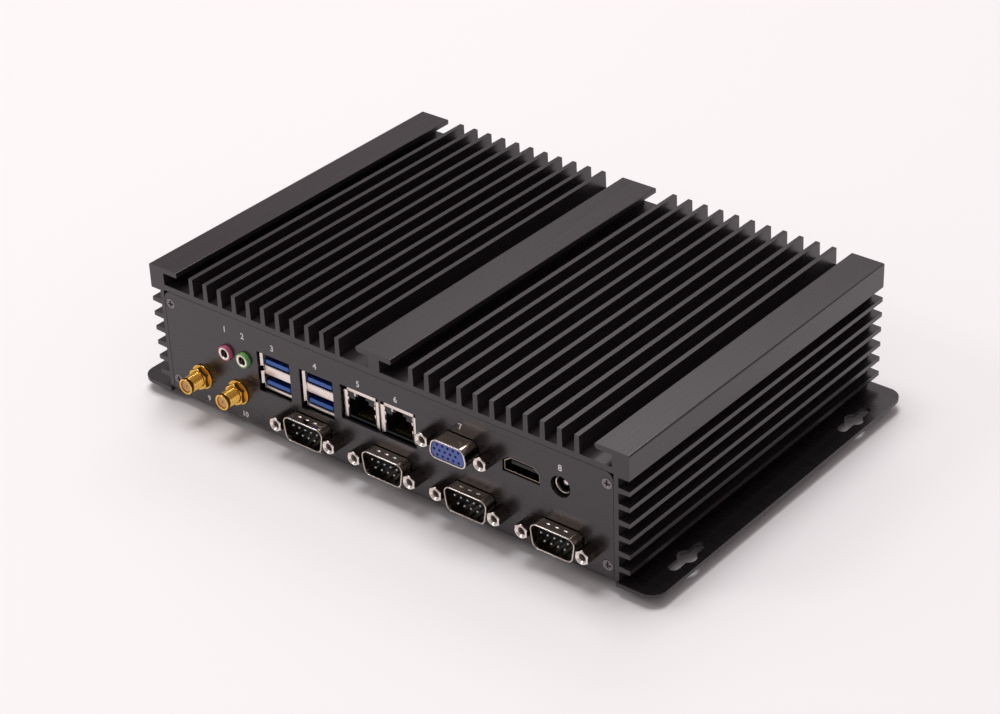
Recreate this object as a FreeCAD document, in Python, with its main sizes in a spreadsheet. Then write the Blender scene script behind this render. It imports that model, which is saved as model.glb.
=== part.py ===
import FreeCAD, Part
import math
import os
import re

import Sketcher
from FreeCAD import Placement, Rotation, Vector

# A fanless industrial computer: a finned aluminium extrusion closed by one folded steel tray
# that carries the connectors, the main board and the mounting ears.
# Frame: X to the right along the connector face, Y from that face to the back, Z up.
# Origin: the middle of the tray's underside.  Millimetres throughout.

SIZES = {
    # folded tray
    "tray_thickness": 1.5, "panel_gap": 0.15, "bend_inner": 0.5, "panel_corner": 3.0,
    "ear_reach": 10.75, "ear_proud": 0.8, "ear_corner": 6.0,
    "relief_width": 1.2, "relief_depth": 3.0,
    "keyhole_inset": 5.65, "keyhole_spacing": 102.2, "keyhole_radius": 3.5,
    "slot_radius": 1.75, "slot_length": 18.5,
    "foot_radius": 6.0, "foot_height": 4.0, "foot_inset": 16.0, "foot_edge": 0.8,
    # extruded housing
    "housing_depth": 151.2, "top_plate": 2.3, "fin_height": 6.7,
    "fin_count": 11, "fin_tip": 1.8, "fin_root": 2.1, "fin_margin": 19.8, "rib_gap": 7.75,
    "rib_flange": 15.5, "rib_stem": 5.0,
    "cap_height": 9.7, "cap_wall": 6.9, "cap_round": 0.6, "cap_foot_round": 0.3,
    "lip_reach": 13.6, "lip_thickness": 2.0, "lip_round": 1.2, "lip_edge": 0.3,
    "side_wall": 1.8, "side_fin_depth": 4.45, "side_fin_count": 6, "side_fin_pitch": 6.12,
    "side_fin_first": 5.2, "side_fin_tip": 1.7, "side_fin_root": 2.1,
    "boss_radius": 3.0, "boss_inset": 9.0, "boss_low": 4.6, "boss_drop": 4.9,
    # screws
    "thread_radius": 1.5, "thread_play": 0.05, "screw_hole_play": 0.15,
    "screw_head_radius": 2.25, "flat_head_radius": 2.05, "flat_head_rim": 0.15,
    "sink_play": 0.05, "screw_head_height": 1.7, "screw_head_round": 0.8,
    "screw_length": 8.0,
    # main board and what lies on it
    "board_width": 186.0, "board_depth": 118.0, "board_thickness": 1.6, "board_side_gap": 1.4,
    "board_gap": 0.3, "standoff_flats": 5.5, "standoff_inset": 3.5, "standoff_front": 23.0,
    "standoff_rear": 6.0, "clinch_radius": 2.1, "clinch_play": 0.02, "bore_depth": 9.0,
    "cpu_side": 35.0, "cpu_thickness": 1.5, "cpu_back": 68.0,
    "spreader_side": 60.0, "spreader_thickness": 5.4, "pad_side": 56.0, "pad_thickness": 0.8,
    "memory_x": 48.0, "memory_back": 60.0, "memory_length": 67.6, "memory_width": 30.0,
    "memory_thickness": 1.2, "memory_drop": 3.2, "memory_arm": 2.2, "memory_spine": 6.0,
    "chip_height": 0.9, "slot_play": 0.1, "slot_grip": 2.5,
    "card_width": 30.0, "card_thickness": 1.0, "card_drop": 4.0, "card_socket_depth": 7.0,
    "card_post_radius": 2.2, "card_screw_inset": 3.2,
    "wireless_x": -75.4, "wireless_back": 28.0, "wireless_length": 30.0,
    "storage_x": -38.0, "storage_back": 45.0, "storage_length": 50.8,
    "cell_radius": 10.0, "cell_thickness": 3.2, "cell_play": 0.2, "cell_x": -1.0,
    "cell_inset": 20.0, "holder_side": 23.0, "holder_height": 4.6,
    # sound jacks
    "mic_jack_x": -70.8, "speaker_jack_x": -62.15, "sound_drop": 6.4, "sound_body_width": 6.8,
    "sound_body_depth": 12.0, "sound_body_below": 3.6, "sound_ring": 2.85, "sound_bore": 1.75,
    "sound_bore_depth": 11.5, "sound_out": 1.4, "hole_play": 0.2,
    # antenna connectors and their cables
    "antenna_side": 15.6, "antenna_pitch": 18.0, "antenna_height": 10.6,
    "antenna_barrel": 3.1, "antenna_bore": 2.3, "antenna_out": 9.0, "antenna_relief": 0.5,
    "antenna_bore_depth": 8.5,
    "antenna_pin": 0.55, "antenna_pin_short": 1.5, "antenna_flange": 4.4,
    "antenna_flange_thick": 2.0, "antenna_neck": 1.8, "antenna_neck_length": 11.5,
    "antenna_flats": 7.8, "antenna_nut_thick": 2.2, "washer_radius": 4.8, "washer_thick": 0.7,
    "cable_radius": 0.7, "cable_bend": 6.0,
    # double data ports
    "data_one_x": -47.9, "data_two_x": -27.75, "data_width": 13.2, "data_height": 16.0,
    "data_depth": 17.5, "data_recess": 1.6, "data_wall": 0.4, "data_mid_bar": 3.3,
    "data_low_bar": 1.0, "data_top_bar": 1.4, "data_tongue_width": 10.8,
    "data_tongue_thick": 1.5, "data_tongue_gap": 0.95,
    "data_tongue_recess": 0.3, "data_back_thick": 2.4, "data_play": 0.1,
    "data_flap_reach": 1.2, "data_flap_low": 2.4, "data_flap_high": 1.7,
    "cutout_side": 1.15, "cutout_lap": 0.6, "cutout_below": 0.7,
    # network jacks
    "network_one_x": -7.95, "network_width": 15.9, "network_height": 13.3,
    "network_gap": 0.9, "network_depth": 18.0, "network_recess": 1.1, "network_wall": 0.4,
    "network_mouth": 11.7, "network_mouth_height": 7.0, "network_border": 2.4,
    "network_window": 12.9, "network_sill": 1.2,
    "network_key_width": 6.2, "network_key_height": 1.5, "network_latch_width": 3.4,
    "network_latch_height": 1.2, "network_mouth_depth": 12.5, "network_side_play": 0.6,
    "network_top_play": 0.1, "network_low_play": 0.3,
    # nine- and fifteen-pin ports
    "floor_gap": 1.99, "row_gap": 1.51, "serial_first_x": -31.15, "flange_gap": 0.3,
    "port_screw_spacing": 24.99, "flange_end": 2.9, "flange_height": 12.5,
    "flange_thickness": 0.8, "jackscrew_out": 6.0, "shell_wall": 0.5, "shell_round": 2.6,
    "serial_width": 19.0, "serial_height": 9.5, "serial_out": 5.1, "port_slant": 1.45,
    "serial_floor": 5.0, "serial_back_width": 19.0, "serial_back_height": 10.0,
    "serial_back_depth": 7.0, "pin_radius": 0.5, "pin_pitch": 2.77, "pin_rows": 2.84,
    "pin_short": 1.2, "insert_play": 0.05, "shell_hole_play": 0.35,
    "video_x": 37.1, "video_drop": 4.05, "video_width": 16.5, "video_out": 7.1, "video_height": 7.4,
    "video_recess": 0.3, "video_hole": 0.55, "video_hole_depth": 5.0, "video_rows": 2.0,
    "video_pitch": 2.28, "video_row_shift": 1.3, "video_back_depth": 11.0,
    "jackscrew_flats": 5.0, "jackscrew_bore": 1.2, "jackscrew_bore_depth": 5.0,
    "jackscrew_stud": 1.4, "jackscrew_stud_length": 6.0,
    "header_width": 20.0, "header_depth": 9.0, "header_height": 9.0, "header_back": 35.0,
    "ribbon_width": 12.0, "ribbon_thickness": 0.9, "ribbon_bend": 4.0,
    # display socket
    "display_x": 62.45, "display_drop": 4.1, "display_width": 15.0, "display_height": 5.6,
    "display_chamfer_across": 2.6, "display_chamfer_up": 1.9, "display_wall": 0.4,
    "display_depth": 11.5, "display_recess": 0.6, "display_tongue_width": 11.0,
    "display_tongue_thick": 1.2, "display_tongue_recess": 1.5, "display_back": 2.0,
    "display_hole_play": 0.3,
    # power jack
    "power_x": 78.7, "power_drop": 4.2, "power_hole": 4.0, "power_body_width": 9.0,
    "power_body_below": 4.6, "power_body_depth": 14.0, "power_bore": 3.35,
    "power_bore_depth": 10.0, "power_sleeve": 3.0, "power_pin": 1.1, "power_pin_short": 1.5,
    "power_recess": 0.6,
    # power button and lights on the back panel
    "switch_x": 60.0, "switch_up": 22.0, "switch_bezel": 8.0, "switch_bezel_out": 1.5,
    "switch_barrel": 5.9, "switch_depth": 13.0, "switch_play": 0.15, "button_radius": 4.4,
    "button_play": 0.25, "button_out": 1.0, "button_length": 6.0, "button_travel": 1.5,
    "button_floor_gap": 0.4, "button_round": 0.4,
    "light_x": 42.0, "light_pitch": 8.0, "light_radius": 1.45, "light_play": 0.05,
    "light_flange": 2.2, "light_flange_thick": 0.6, "light_length": 5.0,
}

# Levels and stations that several pieces share, each worked out from the sheet.
PLACES = {
    "sheet_top": "tray_thickness",
    "serial_z": "sheet_top + floor_gap + flange_height / 2",
    "data_bottom": "sheet_top + floor_gap + flange_height + row_gap",
    "board_under": "data_bottom + data_height",
    "board_top": "board_under + board_thickness",
    "cpu_top": "board_top + cpu_thickness",
    "spreader_top": "cpu_top + spreader_thickness",
    "ceiling": "spreader_top + pad_thickness",
    "plate_top": "ceiling + top_plate",
    "roof": "plate_top + fin_height",
    "panel_top": "ceiling - panel_gap",
    "boss_x": "board_width / 2 + board_side_gap + boss_radius",
    "half_width": "boss_x + boss_inset",
    "wall_outer": "half_width - side_fin_depth",
    "wall_inner": "wall_outer - side_wall",
    "panel_half": "wall_inner - panel_gap",
    "cap_inner": "half_width - cap_wall",
    "lip_tip": "half_width - lip_reach",
    "ear_end": "half_width + ear_reach",
    "end_face": "housing_depth / 2",
    "ear_front": "end_face + ear_proud",
    "panel_inner": "end_face - tray_thickness",
    "keyhole_x": "ear_end - keyhole_inset",
    "boss_low_z": "sheet_top + boss_low",
    "boss_high_z": "ceiling - boss_drop",
    "fin_first": "half_width - fin_margin - fin_tip / 2",
    "fin_last": "rib_flange / 2 + rib_gap + fin_tip / 2",
    "fin_run": "fin_first - fin_last",
    "flange_half": "port_screw_spacing / 2 + flange_end",
    "flange_back": "panel_inner - flange_thickness",
    "board_front": "flange_back - board_gap",
    "standoff_x": "board_width / 2 - standoff_inset",
    "standoff_length": "board_under - sheet_top",
    "serial_last_x": "boss_x - boss_radius - flange_gap - flange_half",
    "serial_pitch": "(serial_last_x - serial_first_x) / 3",
    "antenna_one_x": "antenna_side - panel_half",
    "antenna_z": "sheet_top + antenna_height",
    "sound_z": "board_under - sound_drop",
    "data_front": "end_face - data_recess",
    "data_open": "(data_height - data_top_bar - data_mid_bar - data_low_bar) / 2",
    "network_front": "end_face - network_recess",
    "network_bottom": "board_under - network_height",
    "network_two_x": "network_one_x + network_width + network_gap",
    "video_z": "board_under - video_drop",
    "display_z": "board_under - display_drop",
    "power_z": "board_under - power_drop",
    "switch_z": "sheet_top + switch_up",
    "hole_radius": "thread_radius + screw_hole_play",
    "shank_radius": "thread_radius - thread_play",
    "cell_y": "board_depth - cell_inset - board_front",
    "card_z": "board_under - card_drop",
    "header_y": "header_back - board_front",
}

doc = FreeCAD.newDocument("FanlessIndustrialComputer")
sheet = doc.addObject("Spreadsheet::Sheet", "Sizes")
for row, (alias, size) in enumerate(SIZES.items(), 1):
    sheet.set("A%d" % row, alias)
    sheet.set("B%d" % row, str(size))
    sheet.setAlias("B%d" % row, alias)
doc.recompute()


def formula(text):
    """Puts the name of the sheet, or of the shared places, before each alias in the text."""
    def with_owner(match):
        word = match.group()
        if word in SIZES:
            return "Sizes." + word
        return "Places." + word if word in PLACES else word
    return re.sub(r"[a-z][a-z_]*", with_owner, text)


places = doc.addObject("App::VarSet", "Places")
for name in PLACES:
    places.addProperty("App::PropertyFloat", name, "Places", name.replace("_", " "))
for name, text in PLACES.items():
    places.setExpression(name, formula(text))
doc.recompute()


def value(text):
    """The number that a formula gives now."""
    return float(places.evalExpression(formula(text)))


def bind(item, **formulas):
    """Ties properties of an object to the sheet."""
    for prop, text in formulas.items():
        item.setExpression(prop, formula(text))
    return item


def place(item, x="0", y="0", z="0", turn=None):
    """Puts an object at a point worked out from the sheet, turned if asked."""
    if turn:
        item.Placement = Placement(Vector(), turn)
    for axis, text in (("x", x), ("y", y), ("z", z)):
        if text != "0":
            item.setExpression("Placement.Base." + axis, formula(text))
    return item


TO_FRONT = Rotation(Vector(1, 0, 0), 90)
TO_BACK = Rotation(Vector(1, 0, 0), -90)
DOWNWARD = Rotation(Vector(1, 0, 0), 180)


# ---- Part primitives and booleans ----
def block(name, x, y, z, across, deep, tall):
    """A box from its low corner."""
    item = bind(doc.addObject("Part::Box", name), Length=across, Width=deep, Height=tall)
    return place(item, x, y, z)


def rod(name, x, y, z, radius, length, turn=None):
    """A cylinder from the middle of its first end."""
    item = bind(doc.addObject("Part::Cylinder", name), Radius=radius, Height=length)
    return place(item, x, y, z, turn)


def join(name, *items):
    joined = doc.addObject("Part::MultiFuse", name)
    joined.Shapes = list(items)
    joined.Refine = True
    return joined


def cut(name, base, *tools):
    carved = doc.addObject("Part::Cut", name)
    carved.Base = base
    carved.Tool = tools[0] if len(tools) == 1 else join(name + "_tools", *tools)
    carved.Refine = True
    return carved


def group(name, items):
    """Like pieces kept as separate solids of one node."""
    gathered = doc.addObject("Part::Compound", name)
    gathered.Links = list(items)
    return gathered


def copies(name, master, spots):
    """The same piece at several spots, each spot being (x, y, z, turn)."""
    links = []
    for number, spot in enumerate(spots, 1):
        link = doc.addObject("App::Link", "%s_%d" % (name, number))
        link.LinkedObject = master
        links.append(place(link, *spot))
    return group(name, links)


# ---- PartDesign bodies and sketches ----
def new_body(name):
    body = doc.addObject("PartDesign::Body", name)
    body.AllowCompound = True
    return body


def origin_of(body, role):
    return next(item for item in body.Origin.OriginFeatures if item.Role == role)


def new_sketch(body, name, plane):
    sketch = body.newObject("Sketcher::SketchObject", name)
    sketch.AttachmentSupport = [(origin_of(body, plane), "")]
    sketch.MapMode = "FlatFace"
    return sketch


def pin_down(sketch, geometry, point, across, up):
    """Holds one point of a sketch at a distance across and up from the sketch's origin."""
    for kind, text in (("DistanceX", across), ("DistanceY", up)):
        held = Sketcher.Constraint(kind, -1, 1, geometry, point, value(text))
        index = sketch.addConstraint(held)
        sketch.setExpression("Constraints[%d]" % index, formula(text))


def add_circle(sketch, across, up, radius):
    middle = Vector(value(across), value(up), 0)
    circle = sketch.addGeometry(Part.Circle(middle, Vector(0, 0, 1), value(radius)))
    pin_down(sketch, circle, 3, across, up)
    index = sketch.addConstraint(Sketcher.Constraint("Radius", circle, value(radius)))
    sketch.setExpression("Constraints[%d]" % index, formula(radius))


def add_outline(sketch, corners):
    """A closed outline through its corners (across, up) or (across, up, radius)."""
    points = [Vector(value(corner[0]), value(corner[1]), 0) for corner in corners]
    count = len(corners)
    leaving, reaching, arcs = [], [], []
    for index, corner in enumerate(corners):
        here, before, after = points[index], points[index - 1], points[(index + 1) % count]
        if len(corner) == 2:
            leaving.append(here)
            reaching.append(here)
            arcs.append(None)
            continue
        back = (before - here).normalize()
        ahead = (after - here).normalize()
        radius = value(corner[2])
        half_angle = back.getAngle(ahead) / 2
        reach = radius / math.tan(half_angle)
        middle = here + (back + ahead).normalize() * (radius / math.sin(half_angle))
        first, last = here + back * reach, here + ahead * reach
        left_turn = (here - before).cross(after - here).z > 0
        start, end = (first, last) if left_turn else (last, first)
        angles = [math.atan2(end_point.y - middle.y, end_point.x - middle.x)
                  for end_point in (start, end)]
        if angles[1] < angles[0]:
            angles[1] += 2 * math.pi
        circle = Part.Circle(middle, Vector(0, 0, 1), radius)
        arcs.append((Part.ArcOfCircle(circle, *angles), left_turn))
        reaching.append(first)
        leaving.append(last)
    lines = [sketch.addGeometry(Part.LineSegment(leaving[i], reaching[(i + 1) % count]))
             for i in range(count)]
    for index, corner in enumerate(corners):
        into, out = lines[index - 1], lines[index]
        if arcs[index] is None:
            sketch.addConstraint(Sketcher.Constraint("Coincident", into, 2, out, 1))
            pin_down(sketch, out, 1, corner[0], corner[1])
            continue
        geometry, left_turn = arcs[index]
        arc = sketch.addGeometry(geometry)
        begin, finish = (1, 2) if left_turn else (2, 1)
        sketch.addConstraint(Sketcher.Constraint("Tangent", into, 2, arc, begin))
        sketch.addConstraint(Sketcher.Constraint("Tangent", arc, finish, out, 1))
        held = sketch.addConstraint(Sketcher.Constraint("Radius", arc, value(corner[2])))
        sketch.setExpression("Constraints[%d]" % held, formula(corner[2]))
        point = sketch.addGeometry(Part.Point(points[index]), True)
        sketch.addConstraint(Sketcher.Constraint("PointOnObject", point, 1, into))
        sketch.addConstraint(Sketcher.Constraint("PointOnObject", point, 1, out))
        pin_down(sketch, point, 1, corner[0], corner[1])


def add_rectangle(sketch, left, low, right, high, *radius):
    corners = [(left, low), (right, low), (right, high), (left, high)]
    add_outline(sketch, [corner + radius for corner in corners])


def pad(body, name, sketch, length, symmetric=False, reverse=False):
    feature = body.newObject("PartDesign::Pad", name)
    feature.Profile = sketch
    feature.SideType = "Symmetric" if symmetric else "One side"
    feature.Reversed = reverse
    return bind(feature, Length=length)


def pocket(body, name, sketch, length=None, symmetric=False, reverse=False):
    """A pocket of the given length, or right through."""
    feature = body.newObject("PartDesign::Pocket", name)
    feature.Profile = sketch
    feature.SideType = "Symmetric" if symmetric else "One side"
    feature.Reversed = reverse
    if length is None:
        feature.Type = "ThroughAll"
        return feature
    return bind(feature, Length=length)


def row_of(body, name, original, axis, length, count):
    pattern = body.newObject("PartDesign::LinearPattern", name)
    pattern.Originals = [original]
    pattern.Direction = (origin_of(body, axis), [""])
    bind(pattern, Length=length, Occurrences=count)
    body.Tip = pattern
    return pattern


def turned(name, corners):
    """A piece turned about Z from the half outline that is drawn in the XZ plane."""
    body = new_body(name)
    sketch = new_sketch(body, name + "_profile", "XZ_Plane")
    add_outline(sketch, corners)
    feature = body.newObject("PartDesign::Revolution", name + "_turning")
    feature.Profile = sketch
    feature.ReferenceAxis = (sketch, ["V_Axis"])
    feature.Angle = 360
    return body


def six_sides(flats):
    """The corners of a hexagon with two flats facing up and down."""
    point, flat = "(%s) / sqrt(3)" % flats, "(%s) / 2" % flats
    near = "(%s) / (2 * sqrt(3))" % flats
    return [(point, "0"), (near, flat), ("-" + near, flat),
            ("-" + point, "0"), ("-" + near, "-" + flat), (near, "-" + flat)]


# ---- the extruded housing ----
def housing_side(lip_radius, flange_radius):
    """One half of the housing's section, from the middle rib out to the ceiling."""
    return [
        ("rib_flange / 2", "roof", "lip_edge"),
        ("rib_flange / 2", "roof - lip_thickness", flange_radius),
        ("rib_stem / 2", "roof - lip_thickness"),
        ("rib_stem / 2", "plate_top"),
        ("cap_inner", "plate_top"),
        ("cap_inner", "roof - lip_thickness"),
        ("lip_tip", "roof - lip_thickness", lip_radius),
        ("lip_tip", "roof", "lip_edge"),
        ("half_width", "roof", "cap_round"),
        ("half_width", "roof - cap_height", "cap_foot_round"),
        ("wall_outer", "roof - cap_height"),
        ("wall_outer", "sheet_top"),
        ("wall_inner", "sheet_top"),
        ("wall_inner", "ceiling"),
    ]


def mirrored(corners):
    """The same corners on the other side, in the order that carries the outline on."""
    return [("-(%s)" % corner[0],) + tuple(corner[1:]) for corner in reversed(corners)]


def make_housing():
    body = new_body("heatsink_housing")
    section = new_sketch(body, "housing_section", "XZ_Plane")
    right = housing_side("lip_round", "lip_edge")
    left = mirrored(housing_side("lip_edge", "lip_round"))
    add_outline(section, right + left)
    pad(body, "channel", section, "housing_depth", symmetric=True)

    fin = new_sketch(body, "fin_section", "XZ_Plane")
    for middle in ("-fin_first", "fin_last"):
        add_outline(fin, [(middle + " - fin_root / 2", "plate_top"),
                          (middle + " + fin_root / 2", "plate_top"),
                          (middle + " + fin_tip / 2", "roof"),
                          (middle + " - fin_tip / 2", "roof")])
    first_fin = pad(body, "first_fins", fin, "housing_depth", symmetric=True)
    row_of(body, "top_fins", first_fin, "X_Axis", "fin_run", "fin_count")

    side = new_sketch(body, "side_fin_section", "XZ_Plane")
    level = "sheet_top + side_fin_first"
    for sign in ("", "-"):
        add_outline(side, [(sign + "wall_outer", level + " - side_fin_root / 2"),
                           (sign + "half_width", level + " - side_fin_tip / 2"),
                           (sign + "half_width", level + " + side_fin_tip / 2"),
                           (sign + "wall_outer", level + " + side_fin_root / 2")])
    low_fin = pad(body, "low_side_fins", side, "housing_depth", symmetric=True)
    row_of(body, "side_fins", low_fin, "Z_Axis",
           "side_fin_pitch * (side_fin_count - 1)", "side_fin_count")

    bosses = new_sketch(body, "boss_section", "XZ_Plane")
    bores = new_sketch(body, "boss_bore_section", "XZ_Plane")
    for x in ("boss_x", "-boss_x"):
        for z in ("boss_low_z", "boss_high_z"):
            add_circle(bosses, x, z, "boss_radius")
            add_circle(bores, x, z, "thread_radius")
    pad(body, "screw_bosses", bosses, "2 * panel_inner", symmetric=True)
    body.Tip = pocket(body, "screw_bores", bores, symmetric=True)
    return body


# ---- the port shape shared by the serial and video ports ----
def port_outline(x, z, wide, tall, wide_side_up, grow="0"):
    """A D-shaped outline, grown outwards by a clearance or inwards by a wall."""
    half = "((%s) / 2 + (%s))" % (wide, grow)
    up = "((%s) / 2 + (%s))" % (tall, grow)
    slant = "port_slant"
    round_off = "shell_round + (%s)" % grow
    near, far = (slant, "0") if wide_side_up else ("0", slant)
    return [
        ("(%s) - %s + %s" % (x, half, near), "(%s) - %s" % (z, up), round_off),
        ("(%s) + %s - %s" % (x, half, near), "(%s) - %s" % (z, up), round_off),
        ("(%s) + %s - %s" % (x, half, far), "(%s) + %s" % (z, up), round_off),
        ("(%s) - %s + %s" % (x, half, far), "(%s) + %s" % (z, up), round_off),
    ]


def display_outline(x, z, grow="0"):
    """The display socket's outline, with its two upper corners cut off."""
    half = "(display_width / 2 + (%s))" % grow
    up = "(display_height / 2 + (%s))" % grow
    return [
        ("(%s) - %s" % (x, half), "(%s) - %s" % (z, up)),
        ("(%s) + %s" % (x, half), "(%s) - %s" % (z, up)),
        ("(%s) + %s" % (x, half), "(%s) + %s - display_chamfer_up" % (z, up)),
        ("(%s) + %s - display_chamfer_across" % (x, half), "(%s) + %s" % (z, up)),
        ("(%s) - %s + display_chamfer_across" % (x, half), "(%s) + %s" % (z, up)),
        ("(%s) - %s" % (x, half), "(%s) + %s - display_chamfer_up" % (z, up)),
    ]


SERIAL_X = ["serial_first_x + %d * serial_pitch" % number for number in range(4)]
SCREW_SIDES = ("- port_screw_spacing / 2", "+ port_screw_spacing / 2")
PORTS = [(x, "serial_z") for x in SERIAL_X] + [("video_x", "video_z")]


# ---- the folded tray ----
def make_tray():
    body = new_body("base_tray")
    fold = new_sketch(body, "fold_section", "YZ_Plane")
    bend_outer = "bend_inner + tray_thickness"
    add_outline(fold, [
        ("-end_face", "panel_top"), ("-end_face", "0", bend_outer),
        ("end_face", "0", bend_outer), ("end_face", "panel_top"),
        ("panel_inner", "panel_top"), ("panel_inner", "sheet_top", "bend_inner"),
        ("-panel_inner", "sheet_top", "bend_inner"), ("-panel_inner", "panel_top"),
    ])
    folded = pad(body, "folded_sheet", fold, "2 * panel_half", symmetric=True)
    doc.recompute()
    tips = [Vector(side * value("panel_half"), end * value("end_face - tray_thickness / 2"),
                   value("panel_top")) for side in (-1, 1) for end in (-1, 1)]
    edges = ["Edge%d" % number for number, edge in enumerate(folded.Shape.Edges, 1)
             if any(edge.CenterOfMass.isEqual(tip, 1e-4) for tip in tips)]
    corners = body.newObject("PartDesign::Fillet", "panel_corners")
    corners.Base = (folded, edges)
    bind(corners, Radius="panel_corner")

    ears = new_sketch(body, "ear_outline", "XY_Plane")
    neck = "end_face - relief_depth"
    for sign in ("", "-"):
        add_outline(ears, [
            (sign + "panel_half", "-(%s)" % neck),
            (sign + "(panel_half + relief_width)", "-(%s)" % neck),
            (sign + "(panel_half + relief_width)", "-ear_front"),
            (sign + "ear_end", "-ear_front", "ear_corner"),
            (sign + "ear_end", "ear_front", "ear_corner"),
            (sign + "(panel_half + relief_width)", "ear_front"),
            (sign + "(panel_half + relief_width)", neck),
            (sign + "panel_half", neck),
        ])
    pad(body, "ears", ears, "tray_thickness")

    rounds = new_sketch(body, "keyhole_rounds", "XY_Plane")
    slots = new_sketch(body, "keyhole_slots", "XY_Plane")
    seats = new_sketch(body, "clinch_seats", "XY_Plane")
    reach = "(slot_length / 2 - slot_radius)"
    for x in ("-keyhole_x", "keyhole_x"):
        for y in ("-keyhole_spacing / 2", "keyhole_spacing / 2"):
            add_circle(rounds, x, y, "keyhole_radius")
            for end in (" - ", " + "):
                add_circle(rounds, x, y + end + reach, "slot_radius")
            add_rectangle(slots, x + " - slot_radius", y + " - " + reach,
                          x + " + slot_radius", y + " + " + reach)
    for x, y in STANDOFF_SPOTS:
        add_circle(seats, x, y, "clinch_radius")
    pocket(body, "keyhole_circles", rounds, symmetric=True)
    pocket(body, "keyhole_runs", slots, symmetric=True)
    pocket(body, "clinch_holes", seats, symmetric=True)

    screws = new_sketch(body, "panel_screw_holes", "XZ_Plane")
    for x in ("-boss_x", "boss_x"):
        for z in ("boss_low_z", "boss_high_z"):
            add_circle(screws, x, z, "hole_radius")
    pocket(body, "screw_holes", screws, symmetric=True)
    for side, sign, inward in (("front", "", True), ("back", "-", False)):
        sinks = new_sketch(body, side + "_sink_circles", "XZ_Plane")
        for x in ("-boss_x", "boss_x"):
            for z in ("boss_low_z", "boss_high_z"):
                add_circle(sinks, x, z, "flat_head_radius + flat_head_rim + sink_play")
        sinks.setExpression("AttachmentOffset.Base.z", formula(sign + "end_face"))
        cone = pocket(body, side + "_sinks", sinks,
                      "flat_head_rim + flat_head_radius - shank_radius", reverse=not inward)
        cone.TaperAngle = -45

    front = new_sketch(body, "front_cutouts", "XZ_Plane")
    for x in ("mic_jack_x", "speaker_jack_x"):
        add_circle(front, x, "sound_z", "sound_ring + hole_play")
    for x in ("antenna_one_x", "antenna_one_x + antenna_pitch"):
        add_circle(front, x, "antenna_z", "antenna_barrel + hole_play")
    for x in ("data_one_x", "data_two_x"):
        add_rectangle(front, x + " - data_width / 2 - cutout_side", "data_bottom - cutout_below",
                      x + " + data_width / 2 + cutout_side", "board_under - cutout_lap")
    add_rectangle(front, "network_one_x - network_width / 2 - network_side_play",
                  "network_bottom - network_low_play",
                  "network_two_x + network_width / 2 + network_side_play",
                  "board_under + network_top_play")
    add_circle(front, "power_x", "power_z", "power_hole")
    add_outline(front, display_outline("display_x", "display_z", "display_hole_play"))
    for x, z in PORTS:
        video = x == "video_x"
        wide, tall = ("video_width", "video_height") if video else ("serial_width",
                                                                   "serial_height")
        add_outline(front, port_outline(x, z, wide, tall, not video, "shell_hole_play"))
        for side in SCREW_SIDES:
            add_circle(front, x + side, z, "jackscrew_stud + hole_play")
    pocket(body, "front_openings", front, reverse=True)

    rear = new_sketch(body, "rear_cutouts", "XZ_Plane")
    add_circle(rear, "switch_x", "switch_z", "switch_barrel + switch_play")
    for x in LIGHT_X:
        add_circle(rear, x, "switch_z", "light_radius + light_play")
    body.Tip = pocket(body, "rear_openings", rear)
    return body


STANDOFF_SPOTS = [(x, y) for x in ("-standoff_x", "standoff_x")
                  for y in ("standoff_front - board_front",
                            "board_depth - standoff_rear - board_front")]
LIGHT_X = ["light_x", "light_x - light_pitch"]


# ---- fasteners and feet ----
def pan_screw(name, length):
    """A pan head screw standing head up, with the underside of its head at Z = 0."""
    return turned(name, [
        ("0", "screw_head_height"), ("0", "-(%s)" % length), ("shank_radius", "-(%s)" % length),
        ("shank_radius", "0"), ("screw_head_radius", "0"),
        ("screw_head_radius", "screw_head_height", "screw_head_round"),
    ])


def make_housing_screws():
    """Countersunk screws whose heads lie flush with the panels; Z = 0 is the head's face."""
    screw = turned("housing_screw", [
        ("0", "0"), ("0", "-screw_length"), ("shank_radius", "-screw_length"),
        ("shank_radius", "shank_radius - flat_head_radius - flat_head_rim"),
        ("flat_head_radius", "-flat_head_rim"), ("flat_head_radius", "0"),
    ])
    spots = [(x, y, z, turn) for y, turn in (("-end_face", TO_FRONT), ("end_face", TO_BACK))
             for x in ("-boss_x", "boss_x") for z in ("boss_low_z", "boss_high_z")]
    return copies("housing_screws", screw, spots)


def make_feet():
    foot = turned("rubber_foot", [
        ("0", "0"), ("0", "-foot_height"), ("foot_radius", "-foot_height", "foot_edge"),
        ("foot_radius", "0"),
    ])
    spots = [(x, y, "0") for x in ("foot_inset - panel_half", "panel_half - foot_inset")
             for y in ("foot_inset - end_face", "end_face - foot_inset")]
    return copies("rubber_feet", foot, spots)


# ---- the main board, its standoffs and what carries the heat away ----
def make_board():
    body = new_body("main_board")
    outline = new_sketch(body, "board_outline", "XY_Plane")
    add_rectangle(outline, "-board_width / 2", "-board_front", "board_width / 2",
                  "board_depth - board_front")
    for x, y in STANDOFF_SPOTS:
        add_circle(outline, x, y, "hole_radius")
    pad(body, "laminate", outline, "board_thickness")
    return place(body, z="board_under")


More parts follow.
